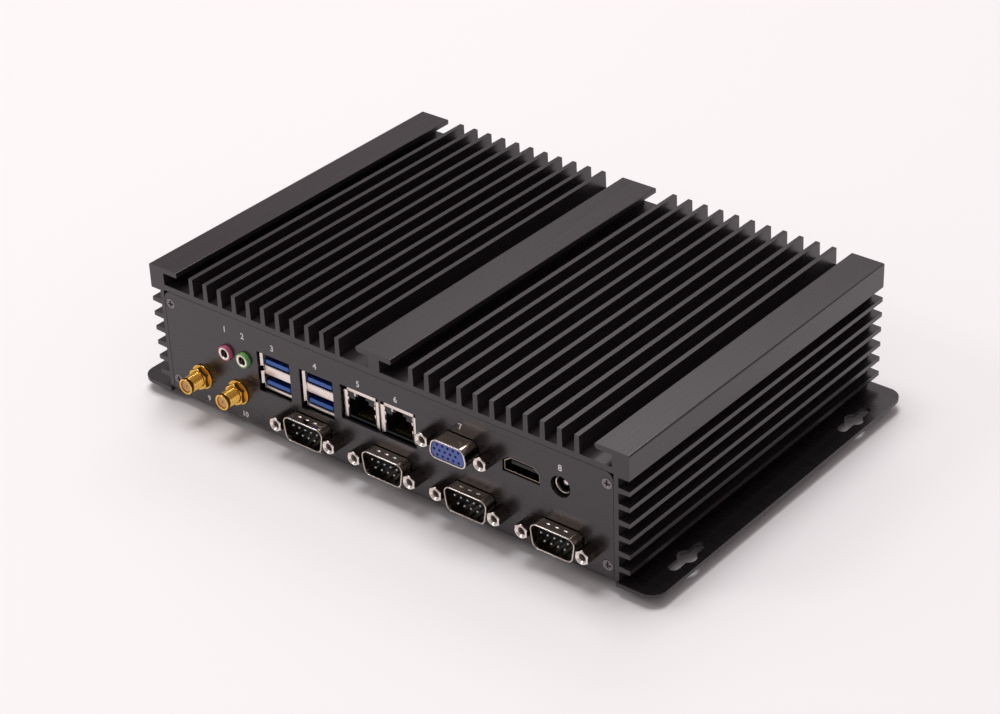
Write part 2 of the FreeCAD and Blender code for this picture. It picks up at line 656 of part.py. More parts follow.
def make_standoffs():
    body = new_body("board_standoff")
    barrel = new_sketch(body, "standoff_hexagon", "XY_Plane")
    add_outline(barrel, six_sides("standoff_flats"))
    pad(body, "standoff_barrel", barrel, "standoff_length")
    shank = new_sketch(body, "standoff_shank", "XY_Plane")
    add_circle(shank, "0", "0", "clinch_radius - clinch_play")
    pad(body, "standoff_clinch", shank, "tray_thickness", reverse=True)
    bore = new_sketch(body, "standoff_bore", "XY_Plane")
    add_circle(bore, "0", "0", "thread_radius")
    bore.setExpression("AttachmentOffset.Base.z", formula("standoff_length"))
    body.Tip = pocket(body, "standoff_thread", bore, "bore_depth")
    return copies("board_standoffs", body, [(x, y, "sheet_top") for x, y in STANDOFF_SPOTS])


def make_board_screws():
    screw = pan_screw("board_screw", "board_thickness + bore_depth / 2")
    return copies("board_screws", screw, [(x, y, "board_top") for x, y in STANDOFF_SPOTS])


def square_on_board(name, side, low, tall):
    """A square piece centred over the processor."""
    return block(name, "-(%s) / 2" % side, "cpu_back - board_front - (%s) / 2" % side, low,
                 side, side, tall)


# ---- cards and the memory module that plug in under the board ----
def make_memory():
    left = "memory_x - memory_length / 2"
    front = "memory_back - board_front"
    module_z = "board_under - memory_drop - memory_thickness"
    plate = block("memory_plate", left, front, module_z, "memory_length", "memory_width",
                  "memory_thickness")
    chips = [block("memory_chip_%d" % number,
                   left + " + memory_length * %d / 4 + chip_height" % number,
                   front + " + memory_width / 3", module_z + " - chip_height",
                   "memory_length / 4 - 2 * chip_height", "memory_width / 2", "chip_height")
             for number in range(4)]
    module = join("memory_module", plate, *chips)
    floor = "memory_drop + memory_thickness + chip_height"
    low = "board_under - (%s)" % floor
    outer = block("memory_frame", left + " - memory_arm", front + " + slot_grip - memory_spine",
                  low, "memory_length + 2 * memory_arm",
                  "memory_spine + memory_width * 2 / 3", floor)
    bay = block("memory_bay", left + " - slot_play", front + " + slot_grip", low,
                "memory_length + 2 * slot_play", "memory_width", floor)
    slot = block("memory_slot", left + " - slot_play", front + " - slot_play",
                 module_z + " - slot_play", "memory_length + 2 * slot_play", "memory_width",
                 "memory_thickness + 2 * slot_play")
    return cut("memory_socket", outer, bay, slot), module


def make_card(name, x, back, length):
    """A small card whose connector edge is at the back and whose screws are at the front."""
    left = "%s - card_width / 2" % x
    front = "%s - board_front" % back
    low = "card_z - card_thickness"
    plate = block(name + "_plate", left, front, low, "card_width", length, "card_thickness")
    chip = block(name + "_chip", left + " + card_width / 4",
                 front + " + (%s) / 3" % length, low + " - chip_height",
                 "card_width / 2", "(%s) / 2" % length, "chip_height")
    holes = [rod("%s_hole_%d" % (name, number), spot[0], spot[1], low, "hole_radius",
                 "card_thickness") for number, spot in enumerate(card_spots(x, back))]
    return cut(name, join(name + "_board", plate, chip), *holes)


def card_spots(x, back):
    across = "(card_width / 2 - card_screw_inset)"
    y = "%s - board_front + card_screw_inset" % back
    return [(x + " - " + across, y), (x + " + " + across, y)]


CARDS = [("wireless_x", "wireless_back", "wireless_length"),
         ("storage_x", "storage_back", "storage_length")]
CARD_SPOTS = [spot for x, back, length in CARDS for spot in card_spots(x, back)]


def make_card_sockets():
    sockets = []
    for number, (x, back, length) in enumerate(CARDS, 1):
        edge = "%s - board_front + %s" % (back, length)
        tall = "card_drop + card_thickness + chip_height"
        shell = block("card_socket_block_%d" % number, x + " - card_width / 2 - slot_play",
                      edge + " - slot_grip", "board_under - (%s)" % tall,
                      "card_width + 2 * slot_play", "card_socket_depth", tall)
        slot = block("card_socket_slot_%d" % number, x + " - card_width / 2 - slot_play",
                     edge + " - slot_grip", "card_z - card_thickness - slot_play",
                     "card_width + 2 * slot_play", "slot_grip + slot_play",
                     "card_thickness + 2 * slot_play")
        sockets.append(cut("card_socket_%d" % number, shell, slot))
    return group("card_sockets", sockets)


def make_card_posts():
    posts = []
    for number, (x, y) in enumerate(CARD_SPOTS, 1):
        post = rod("card_post_solid_%d" % number, x, y, "card_z", "card_post_radius",
                   "card_drop")
        bore = rod("card_post_bore_%d" % number, x, y, "card_z", "thread_radius", "card_drop")
        posts.append(cut("card_post_%d" % number, post, bore))
    return group("card_posts", posts)


def make_card_screws():
    screw = pan_screw("card_screw", "card_thickness + card_drop * 3 / 4")
    return copies("card_screws", screw,
                  [(x, y, "card_z - card_thickness", DOWNWARD) for x, y in CARD_SPOTS])


def make_coin_cell():
    low = "board_under - holder_height"
    outer = block("holder_block", "cell_x - holder_side / 2", "cell_y - holder_side / 2", low,
                  "holder_side", "holder_side", "holder_height")
    well = rod("holder_well", "cell_x", "cell_y", low, "cell_radius + cell_play",
               "cell_thickness")
    cell = rod("coin_cell", "cell_x", "cell_y", low, "cell_radius", "cell_thickness")
    return cut("coin_cell_holder", outer, well), cell


# ---- connectors ----
def make_sound_jack(name, x):
    """A jack moulded in one piece: a block under the board and a ring through the panel."""
    shell = block(name + "_block", x + " - sound_body_width / 2", "hole_play - panel_inner",
                  "sound_z - sound_body_below", "sound_body_width", "sound_body_depth",
                  "board_under - sound_z + sound_body_below")
    ring = rod(name + "_ring", x, "-end_face - sound_out", "sound_z", "sound_ring",
               "sound_out + tray_thickness + 2 * hole_play", TO_BACK)
    bore = rod(name + "_bore", x, "-end_face - sound_out", "sound_z", "sound_bore",
               "sound_bore_depth", TO_BACK)
    return cut(name, join(name + "_body", shell, ring), bore)


def make_antenna_connector(name, x):
    """A gold barrel with a flange behind the panel; Z = 0 of its profile is the panel face."""
    flange_back = "-tray_thickness - antenna_flange_thick"
    neck_end = "-tray_thickness - antenna_neck_length"
    bore_floor = "antenna_out - antenna_bore_depth"
    thread_start = "washer_thick + antenna_nut_thick"
    body = turned(name, [
        ("0", neck_end), ("antenna_neck", neck_end), ("antenna_neck", flange_back),
        ("antenna_flange", flange_back), ("antenna_flange", "-tray_thickness"),
        ("antenna_barrel - antenna_relief", "-tray_thickness"),
        ("antenna_barrel - antenna_relief", thread_start),
        ("antenna_barrel", thread_start), ("antenna_barrel", "antenna_out"),
        ("antenna_bore", "antenna_out"), ("antenna_bore", bore_floor),
        ("antenna_pin", bore_floor), ("antenna_pin", "antenna_out - antenna_pin_short"),
        ("0", "antenna_out - antenna_pin_short"),
    ])
    return place(body, x, "-end_face", "antenna_z", TO_FRONT)


ANTENNA_X = ["antenna_one_x", "antenna_one_x + antenna_pitch"]


def make_antenna_nuts():
    body = new_body("antenna_nut")
    outline = new_sketch(body, "antenna_nut_outline", "XY_Plane")
    add_outline(outline, six_sides("antenna_flats"))
    add_circle(outline, "0", "0", "antenna_barrel + thread_play")
    pad(body, "antenna_nut_solid", outline, "antenna_nut_thick")
    return copies("antenna_nuts", body, [(x, "-end_face - washer_thick", "antenna_z", TO_FRONT)
                                         for x in ANTENNA_X])


def make_antenna_washers():
    body = new_body("antenna_washer")
    outline = new_sketch(body, "antenna_washer_outline", "XY_Plane")
    add_circle(outline, "0", "0", "washer_radius")
    add_circle(outline, "0", "0", "antenna_barrel + hole_play")
    pad(body, "antenna_washer_solid", outline, "washer_thick")
    return copies("antenna_washers", body, [(x, "-end_face", "antenna_z", TO_FRONT)
                                            for x in ANTENNA_X])


def make_antenna_cable(name, x):
    """Straight back from the connector, one bend, then up to the wireless card."""
    across, bend = value(x), value("cable_bend")
    start = Vector(across, value("antenna_neck_length - panel_inner"), value("antenna_z"))
    end = Vector(across, value("wireless_back - board_front + card_screw_inset * 3"),
                 value("card_z - card_thickness"))
    turn = Vector(across, end.y, start.z)
    bend_start = turn - Vector(0, bend, 0)
    bend_end = turn + Vector(0, 0, bend)
    middle = turn + Vector(0, -bend, bend) * (1 - math.sqrt(0.5))
    path = Part.Wire([Part.LineSegment(start, bend_start).toShape(),
                      Part.Arc(bend_start, middle, bend_end).toShape(),
                      Part.LineSegment(bend_end, end).toShape()])
    section = Part.Wire(Part.Circle(start, Vector(0, 1, 0), value("cable_radius")).toShape())
    cable = doc.addObject("Part::Feature", name)
    cable.Shape = path.makePipeShell([section], True, False)
    print(name, "bend radius", bend, "length %.1f" % path.Length)
    return cable


def make_data_port(name, x):
    """Two sockets in one folded shell with a flap on its left that reaches into the panel's
    opening; the insert's back plate carries both tongues."""
    left, low, front = x + " - data_width / 2", "data_bottom", "-data_front"
    shell = block(name + "_block", left, front, low, "data_width", "data_depth", "data_height")
    inner_left = left + " + data_wall"
    inner_width = "data_width - 2 * data_wall"
    back_start = "data_depth - data_wall - data_back_thick - 2 * data_play"
    levels = ["data_bottom + data_low_bar",
              "data_bottom + data_low_bar + data_open + data_mid_bar"]
    hollows = [block("%s_mouth_%d" % (name, number), inner_left, front, level, inner_width,
                     back_start, "data_open") for number, level in enumerate(levels)]
    room = block(name + "_room", inner_left, front + " + " + back_start, levels[0], inner_width,
                 "data_back_thick + 2 * data_play", "2 * data_open + data_mid_bar")
    plate_y = front + " + %s + data_play" % back_start
    plate = block(name + "_plate", inner_left + " + data_play", plate_y,
                  levels[0] + " + data_play", inner_width + " - 2 * data_play",
                  "data_back_thick", "2 * data_open + data_mid_bar - 2 * data_play")
    tongues = [block("%s_tongue_%d" % (name, number), x + " - data_tongue_width / 2",
                     front + " + data_tongue_recess",
                     level + " + data_tongue_gap", "data_tongue_width",
                     back_start + " + data_play - data_tongue_recess", "data_tongue_thick")
               for number, level in enumerate(levels)]
    flap = block(name + "_flap", left, front + " - data_flap_reach",
                 "data_bottom + data_flap_low", "data_wall", "data_flap_reach + data_wall",
                 "data_height - data_flap_low - data_flap_high")
    folded = join(name + "_folded", shell, flap)
    return cut(name + "_shell", folded, room, *hollows), join(name + "_tongues", plate, *tongues)


def make_network_jack(name, x):
    """A folded shield, open in front below its brow, round a moulded block whose mouth has
    the latch notch at the top, towards the board."""
    outer = block(name + "_outer", x + " - network_width / 2", "-network_front",
                  "network_bottom", "network_width", "network_depth", "network_height")
    room = block(name + "_room", x + " - network_width / 2 + network_wall",
                 "network_wall - network_front", "network_bottom + network_wall",
                 "network_width - 2 * network_wall", "network_depth - 2 * network_wall",
                 "network_height - 2 * network_wall")
    key_low = "network_bottom + network_sill + network_mouth_height"
    latch_low = key_low + " + network_key_height"
    steps = [("network_mouth", "network_bottom + network_sill", "network_mouth_height"),
             ("network_key_width", key_low, "network_key_height"),
             ("network_latch_width", latch_low, "network_latch_height")]
    mouth = [block("%s_mouth_%d" % (name, number), x + " - %s / 2" % wide, "-network_front",
                   low, wide, "network_mouth_depth", tall)
             for number, (wide, low, tall) in enumerate(steps)]
    window = block(name + "_window", x + " - network_window / 2", "-network_front",
                   "network_bottom + network_wall", "network_window", "network_wall",
                   "network_height - network_wall - network_border")
    shield = cut(name + "_shield", outer, room, window)
    core = block(name + "_core", x + " - network_width / 2 + network_wall + data_play",
                 "network_wall - network_front + data_play",
                 "network_bottom + network_wall + data_play",
                 "network_width - 2 * network_wall - 2 * data_play",
                 "network_depth - 2 * network_wall - 2 * data_play",
                 "network_height - 2 * network_wall - 2 * data_play")
    return shield, cut(name + "_insert", core, *mouth)


def make_port_shell(name, x, z, wide, tall, out, wide_side_up):
    """A flange behind the panel with a D-shaped tube that stands out through it."""
    body = new_body(name)
    flange = new_sketch(body, name + "_flange_outline", "XZ_Plane")
    add_rectangle(flange, "-flange_half", "-flange_height / 2", "flange_half",
                  "flange_height / 2")
    for side in SCREW_SIDES:
        add_circle(flange, side, "0", "jackscrew_stud + thread_play")
    pad(body, name + "_flange", flange, "flange_thickness")
    tube = new_sketch(body, name + "_tube_outline", "XZ_Plane")
    add_outline(tube, port_outline("0", "0", wide, tall, wide_side_up))
    pad(body, name + "_tube", tube, "flange_thickness + tray_thickness + " + out)
    hollow = new_sketch(body, name + "_hollow_outline", "XZ_Plane")
    add_outline(hollow, port_outline("0", "0", wide, tall, wide_side_up, "-shell_wall"))
    body.Tip = pocket(body, name + "_hollow", hollow, symmetric=True)
    return place(body, x, "-flange_back", z)


def make_port_core(name, wide, tall, wide_side_up, length):
    """The plug of moulding that fills a port's tube, from the flange's back forwards."""
    body = new_body(name)
    sketch = new_sketch(body, name + "_outline", "XZ_Plane")
    add_outline(sketch, port_outline("0", "0", wide, tall, wide_side_up,
                                     "-shell_wall - insert_play"))
    pad(body, name + "_plug", sketch, length)
    return body


def serial_pin_spots():
    rows = [(5, "pin_rows / 2"), (4, "-pin_rows / 2")]
    return [("%s * pin_pitch" % (index - (count - 1) / 2), up)
            for count, up in rows for index in range(count)]


def make_serial_port(number, x):
    name = "serial_port_%d" % number
    shell = make_port_shell(name + "_shell", x, "serial_z", "serial_width", "serial_height",
                            "serial_out", True)
    plug = make_port_core(name + "_core", "serial_width", "serial_height", True,
                          "flange_thickness + tray_thickness + serial_out - serial_floor")
    place(plug, x, "-flange_back", "serial_z")
    back = block(name + "_back", x + " - serial_back_width / 2", "-flange_back",
                 "serial_z - serial_back_height / 2", "serial_back_width",
                 "serial_back_depth", "serial_back_height")
    insert = join(name + "_insert", plug, back)
    pins = [rod("%s_pin_%d" % (name, index), "(%s) + %s" % (x, across),
                "serial_floor - serial_out - end_face", "serial_z + " + up, "pin_radius",
                "serial_floor - pin_short", TO_FRONT)
            for index, (across, up) in enumerate(serial_pin_spots(), 1)]
    return shell, insert, group(name + "_pins", pins)


def make_video_port():
    shell = make_port_shell("video_port_shell", "video_x", "video_z", "video_width",
                            "video_height", "video_out", False)
    plug = make_port_core("video_port_core", "video_width", "video_height", False,
                          "flange_thickness + tray_thickness + video_out - video_recess")
    place(plug, "video_x", "-flange_back", "video_z")
    back = block("video_port_back", "video_x - flange_half", "-flange_back",
                 "video_z - flange_height / 2", "2 * flange_half", "video_back_depth",
                 "flange_height / 2 + video_drop")
    front = "video_recess - video_out - end_face"
    holes = [rod("video_hole_%d_%d" % (line, column),
                 "video_x + %d * video_pitch + (%d) * video_row_shift" % (column, shift),
                 front, "video_z + (%d) * video_rows" % line, "video_hole",
                 "video_hole_depth", TO_BACK)
             for line, shift in ((-1, 0), (0, -1), (1, 0)) for column in range(-2, 3)]
    studs = [rod("video_stud_hole_%d" % index, "video_x " + side, "-flange_back", "video_z",
                 "jackscrew_stud + thread_play", "jackscrew_stud_length", TO_BACK)
             for index, side in enumerate(SCREW_SIDES)]
    return shell, cut("video_port_insert", join("video_port_moulding", plug, back),
                      *(holes + studs))


def make_jackscrews():
    body = new_body("jackscrew")
    hexagon = new_sketch(body, "jackscrew_hexagon", "XY_Plane")
    add_outline(hexagon, six_sides("jackscrew_flats"))
    pad(body, "jackscrew_head", hexagon, "jackscrew_out")
    stud = new_sketch(body, "jackscrew_stud_circle", "XY_Plane")
    add_circle(stud, "0", "0", "jackscrew_stud")
    pad(body, "jackscrew_thread", stud, "jackscrew_stud_length", reverse=True)
    bore = new_sketch(body, "jackscrew_bore_circle", "XY_Plane")
    add_circle(bore, "0", "0", "jackscrew_bore")
    bore.setExpression("AttachmentOffset.Base.z", formula("jackscrew_out"))
    body.Tip = pocket(body, "jackscrew_socket", bore, "jackscrew_bore_depth")
    return copies("jackscrews", body, [(x + side, "-end_face", z, TO_FRONT)
                                       for x, z in PORTS for side in SCREW_SIDES])


def make_serial_headers():
    return group("serial_headers", [
        block("serial_header_%d" % number, x + " - header_width / 2",
              "header_y - header_depth / 2", "board_under - header_height", "header_width",
              "header_depth", "header_height")
        for number, x in enumerate(SERIAL_X, 1)])


def make_serial_ribbons():
    """Flat cables from the ports' backs to the headers, with one bend upwards."""
    body = new_body("serial_ribbon")
    side = new_sketch(body, "ribbon_side", "YZ_Plane")
    start = "serial_back_depth - flange_back"
    half = "ribbon_thickness / 2"
    top = "board_under - header_height"
    add_outline(side, [
        (start, "serial_z - " + half),
        ("header_y + " + half, "serial_z - " + half, "ribbon_bend + ribbon_thickness"),
        ("header_y + " + half, top), ("header_y - " + half, top),
        ("header_y - " + half, "serial_z + " + half, "ribbon_bend"),
        (start, "serial_z + " + half),
    ])
    pad(body, "ribbon_band", side, "ribbon_width", symmetric=True)
    return copies("serial_ribbons", body, [(x, "0", "0") for x in SERIAL_X])


def make_display_socket():
    body = new_body("display_socket_shell")
    outer = new_sketch(body, "display_outer", "XZ_Plane")
    add_outline(outer, display_outline("0", "0"))
    pad(body, "display_tube", outer, "display_depth", reverse=True)
    inner = new_sketch(body, "display_inner", "XZ_Plane")
    add_outline(inner, display_outline("0", "0", "-display_wall"))
    body.Tip = pocket(body, "display_mouth", inner, "display_depth - display_wall")
    place(body, "display_x", "display_recess - end_face", "display_z")
    front = "display_recess - end_face"
    plate = block("display_back_plate",
                  "display_x - display_tongue_width / 2",
                  front + " + display_depth - display_wall - display_back",
                  "display_z - display_tongue_thick", "display_tongue_width",
                  "display_back", "2 * display_tongue_thick")
    tongue = block("display_tongue_blade", "display_x - display_tongue_width / 2",
                   front + " + display_tongue_recess",
                   "display_z - display_tongue_thick / 2", "display_tongue_width",
                   "display_depth - display_wall - display_tongue_recess",
                   "display_tongue_thick")
    return body, join("display_socket_tongue", plate, tongue)


def make_power_jack():
    front = "power_recess - panel_inner"
    shell = block("power_jack_block", "power_x - power_body_width / 2", front,
                  "power_z - power_body_below", "power_body_width", "power_body_depth",
                  "power_body_below + power_drop")
    bore = rod("power_jack_bore", "power_x", front, "power_z", "power_bore",
               "power_bore_depth", TO_BACK)
    sleeve_outer = rod("power_sleeve_outer", "power_x", front, "power_z", "power_bore",
                       "power_bore_depth", TO_BACK)
    sleeve_inner = rod("power_sleeve_inner", "power_x", front, "power_z", "power_sleeve",
                       "power_bore_depth", TO_BACK)
    pin = rod("power_centre_pin", "power_x", front + " + power_pin_short", "power_z",
              "power_pin", "power_bore_depth - power_pin_short", TO_BACK)
    sleeve = cut("power_sleeve_tube", sleeve_outer, sleeve_inner)
    return cut("power_jack_body", shell, bore), group("power_jack_contacts", [sleeve, pin])


# ---- the power button and the lights on the back panel ----
def make_switch():
    outside = "switch_bezel_out"
    cavity = "button_radius + button_play"
    floor = "button_out - button_length - button_travel - button_floor_gap + switch_bezel_out"
    body = turned("power_switch_body", [
        ("0", "-switch_depth"), ("switch_barrel", "-switch_depth"), ("switch_barrel", "0"),
        ("switch_bezel", "0"), ("switch_bezel", outside, "button_round"), (cavity, outside),
        (cavity, floor), ("0", floor),
    ])
    place(body, "switch_x", "end_face", "switch_z", TO_BACK)
    button = turned("power_button", [
        ("0", "-button_length"), ("button_radius", "-button_length"),
        ("button_radius", "0", "button_round"), ("0", "0"),
    ])
    place(button, "switch_x", "end_face + switch_bezel_out + button_out", "switch_z", TO_BACK)
    return body, button


def make_lights():
    light = turned("status_light", [
        ("0", "-light_length"), ("light_radius", "-light_length"), ("light_radius", "0"),
        ("light_flange", "0"), ("light_flange", "light_flange_thick"),
        ("0", "light_flange_thick"),
    ])
    return copies("status_lights", light,
                  [(x, "end_face", "switch_z", TO_BACK) for x in LIGHT_X])


subparts = [
    make_housing(), make_tray(), make_housing_screws(), make_feet(),
    make_board(), make_standoffs(), make_board_screws(),
    square_on_board("cpu_package", "cpu_side", "board_top", "cpu_thickness"),
    square_on_board("heat_spreader", "spreader_side", "cpu_top", "spreader_thickness"),
    square_on_board("thermal_pad", "pad_side", "spreader_top", "pad_thickness"),
    *make_memory(),
    make_card("wireless_card", *CARDS[0]), make_card("storage_card", *CARDS[1]),
    make_card_sockets(), make_card_posts(), make_card_screws(), *make_coin_cell(),
    make_sound_jack("mic_jack", "mic_jack_x"), make_sound_jack("speaker_jack", "speaker_jack_x"),
    make_antenna_nuts(), make_antenna_washers(),
    *make_video_port(), make_jackscrews(), make_serial_headers(), make_serial_ribbons(),
    *make_display_socket(), *make_power_jack(), *make_switch(), make_lights(),
]
for number, x in enumerate(ANTENNA_X, 1):
    subparts.append(make_antenna_connector("antenna_connector_%d" % number, x))
    subparts.append(make_antenna_cable("antenna_cable_%d" % number, x))
for number, x in enumerate(("data_one_x", "data_two_x"), 1):
    subparts.extend(make_data_port("data_port_%d" % number, x))
for number, x in enumerate(("network_one_x", "network_two_x"), 1):
    subparts.extend(make_network_jack("network_jack_%d" % number, x))
for number, x in enumerate(SERIAL_X, 1):
    subparts.extend(make_serial_port(number, x))

doc.recompute()
for item in doc.Objects:
    if {"Invalid", "Error"} & set(item.State):
        raise RuntimeError("%s is in state %s" % (item.Label, item.State))
os.makedirs("parts", exist_ok=True)
for item in subparts:
    if item.Shape.isNull() or not item.Shape.isValid():
        raise RuntimeError(item.Label + " has no valid shape")
for item in subparts:
    item.Shape.exportStep(os.path.join("parts", item.Label + ".step"))
print(len(subparts), "sub-parts")
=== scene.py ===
# %% [markdown]
# # A fanless industrial computer on a white sweep
#
# The object is a small computer without a fan: a black finned extrusion that carries the heat
# away, over a folded steel tray whose front wall is full of connectors.  The CAD frame holds the
# solids at their true sizes, so this lesson only dresses them.  It gives every solid a finish,
# replaces the small hardware with turned and threaded pieces, adds contacts, ridges and printed
# numbers, and then sets up a floor, lights and a camera.
#
# The lengths are metres, as everywhere in Blender, and hardware sizes are written in millimetres
# and multiplied by `MM`.  X runs along the connector face, Y to the back and Z up.

# %% Load the frame
import math

import bmesh
import bpy
from mathutils import Matrix, Vector


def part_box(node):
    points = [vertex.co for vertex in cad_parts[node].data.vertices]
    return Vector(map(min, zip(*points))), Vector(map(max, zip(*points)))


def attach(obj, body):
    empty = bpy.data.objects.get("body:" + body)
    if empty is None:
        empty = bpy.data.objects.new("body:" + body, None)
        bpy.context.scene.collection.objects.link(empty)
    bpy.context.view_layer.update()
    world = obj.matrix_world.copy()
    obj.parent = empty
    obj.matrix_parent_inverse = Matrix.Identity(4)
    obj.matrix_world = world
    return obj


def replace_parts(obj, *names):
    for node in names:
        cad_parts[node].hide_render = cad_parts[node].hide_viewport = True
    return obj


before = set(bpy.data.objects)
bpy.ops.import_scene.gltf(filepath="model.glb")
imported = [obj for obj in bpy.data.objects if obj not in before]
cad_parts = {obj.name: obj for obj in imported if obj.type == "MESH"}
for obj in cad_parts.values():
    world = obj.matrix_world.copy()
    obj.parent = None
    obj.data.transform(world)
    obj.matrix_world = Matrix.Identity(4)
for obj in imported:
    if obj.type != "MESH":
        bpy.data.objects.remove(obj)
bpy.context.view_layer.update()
scene = bpy.context.scene
MM = 0.001
print("solids:", len(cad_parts))

# %% [markdown]
# ## Where things are
#
# Every place in the scene is read from the frame, so a change of size in the CAD model moves the
# detail with it.  A connector's own box gives its centre, and two faces serve all of them: the
# outer face of the connector panel and the floor under the rubber feet.

# %% Find the panel, the back and the floor
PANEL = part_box("heatsink_housing")[0].y
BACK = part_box("heatsink_housing")[1].y
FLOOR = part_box("rubber_feet")[0].z


def middle(node):
    """The middle of a node's box."""
    low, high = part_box(node)
    return (low + high) / 2


print("panel at %.1f mm, floor at %.1f mm" % (PANEL / MM, FLOOR / MM))

# %% [markdown]
# ## A small kit for shaders
#
# All finishes here are one Principled shader with its colour, roughness and bump led by noise
# laid in the object's own coordinates.  Noise in object coordinates needs no unwrapping and
# stays at its true scale on every piece, which is what makes a 0.1 mm grain look right on both a
# pin and a 200 mm extrusion.  `Finish` keeps the node wiring in one place.

# %% Build the shader kit
class Finish:
    """A material under construction."""

    def __init__(self, name, **values):
        self.material = bpy.data.materials.new(name)
        self.material.use_nodes = True
        self.tree = self.material.node_tree
        self.tree.nodes.clear()
        output = self.tree.nodes.new("ShaderNodeOutputMaterial")
        self.shader = self.node("ShaderNodeBsdfPrincipled", **values)
        self.wire(self.shader.outputs["BSDF"], output.inputs["Surface"])
        self.place = self.node("ShaderNodeTexCoord").outputs["Object"]

    def wire(self, source, target):
        """Joins an output to an input."""
        self.tree.links.new(source, target)

    def node(self, kind, **values):
        """A new node with some of its inputs set."""
        node = self.tree.nodes.new(kind)
        for name, value in values.items():
            node.inputs[name.replace("_", " ")].default_value = value
        return node

    def noise(self, scale, detail=3.0, stretch=(1, 1, 1)):
        """Noise whose grain can be stretched along an axis."""
        mapping = self.node("ShaderNodeMapping", Scale=stretch)
        self.wire(self.place, mapping.inputs["Vector"])
        noise = self.node("ShaderNodeTexNoise", Scale=scale, Detail=detail)
        self.wire(mapping.outputs["Vector"], noise.inputs["Vector"])
        return noise.outputs["Fac"]

    def ranged(self, source, low, high, start=0.3, end=0.7):
        """Maps a texture onto a range of numbers."""
        mapped = self.tree.nodes.new("ShaderNodeMapRange")
        for name, value in (("From Min", start), ("From Max", end), ("To Min", low),
                            ("To Max", high)):
            mapped.inputs[name].default_value = value
        self.wire(source, mapped.inputs["Value"])
        return mapped.outputs["Result"]

    def colours(self, source, first, second):
        """Goes from one colour to another with a texture."""
        ramp = self.tree.nodes.new("ShaderNodeValToRGB")
        ramp.color_ramp.elements[0].color = (*first, 1)
        ramp.color_ramp.elements[1].color = (*second, 1)
        self.wire(source, ramp.inputs["Fac"])
        self.wire(ramp.outputs["Color"], self.shader.inputs["Base Color"])

    def summed(self, first, second):
        """The sum of two textures."""
        total = self.node("ShaderNodeMath")
        total.operation = "ADD"
        self.wire(first, total.inputs[0])
        self.wire(second, total.inputs[1])
        return total.outputs["Value"]

    def roughness(self, source, low, high):
        """Lets a texture vary the polish."""
        self.wire(self.ranged(source, low, high), self.shader.inputs["Roughness"])

    def bump(self, source, height):
        """Raises a texture by a height in metres."""
        bump = self.node("ShaderNodeBump", Distance=height)
        self.wire(source, bump.inputs["Height"])
        self.wire(bump.outputs["Normal"], self.shader.inputs["Normal"])


def scaled(colour, factor):
    """A colour made lighter or darker."""
    return [min(1.0, part * factor) for part in colour]


print("kit:", [name for name in vars(Finish) if not name.startswith("_")])

# %% [markdown]
# ## Black surfaces
#
# An extruded heat sink leaves its die with faint lines along its length, and black anodising
# keeps them: it is a dyed oxide layer a few micrometres thick, very dark, with a satin gloss.
# Nearly all the grey seen on such a part is reflected room, so the base colour stays close to
# nothing and the roughness does the work.  The folded tray is a brushed sheet under a thin black
# coat: faint streaks along X, with the coat's own fine orange peel over them.  `WARM` gives the
# reflections of both a slight pink cast.

# %% Make the two black finishes
WARM = (1.0, 0.92, 0.95, 1)


def anodised(name, colour, rough):
    """Dyed oxide over the die's lines, which run along Y."""
    finish = Finish(name, IOR=1.6, Specular_Tint=WARM)
    lines = finish.noise(900, 2, (1, 0.02, 1))
    finish.colours(finish.noise(18), scaled(colour, 0.8), scaled(colour, 1.25))
    finish.roughness(lines, rough - 0.02, rough + 0.03)
    finish.bump(finish.summed(lines, finish.noise(2600, 2)), 1.6e-6)
    return finish.material


def coated_sheet(name, colour, rough):
    """A thin coat over sheet that was brushed along X."""
    finish = Finish(name, IOR=1.62, Specular_Tint=WARM)
    cloud = finish.noise(22, 2)
    finish.colours(cloud, scaled(colour, 0.85), scaled(colour, 1.2))
    brushed = finish.noise(800, 3, (0.03, 1, 1))
    finish.roughness(brushed, rough - 0.04, rough + 0.05)
    finish.bump(finish.summed(brushed, finish.noise(1500, 2)), 3e-6)
    return finish.material


housing_black = anodised("black anodised extrusion", (0.0145, 0.012, 0.0133), 0.27)
tray_black = coated_sheet("black coated sheet", (0.0085, 0.0072, 0.0078), 0.26)
print("black finishes:", housing_black.name, "and", tray_black.name)

# %% [markdown]
# ## Metal and moulded surfaces
#
# Plated shells, turned screws and gold contacts are full metals whose tone and polish drift a
# little, because plating is never even.  Mouldings get a spark-eroded texture as fine as the
# tool's.  The circuit boards carry solder mask with the copper showing through as a faint grid.

# %% Define metal, moulding and board
def metal(name, colour, rough, grain=2e-6, tarnish=0.85):
    """Plated or turned metal, darker where it is tarnished."""
    finish = Finish(name, Metallic=1.0)
    finish.colours(finish.noise(420, 4), scaled(colour, tarnish), colour)
    finish.roughness(finish.noise(1500), rough * 0.75, rough * 1.3)
    finish.bump(finish.noise(3000, 2), grain)
    return finish.material


def moulded(name, colour, rough, grain=4e-6):
    """Plastic, rubber or ink with a fine texture."""
    finish = Finish(name, IOR=1.48)
    cloud = finish.noise(160, 2)
    finish.colours(cloud, scaled(colour, 0.88), scaled(colour, 1.1))
    finish.roughness(cloud, rough - 0.05, rough + 0.05)
    finish.bump(finish.noise(4200, 2), grain)
    return finish.material


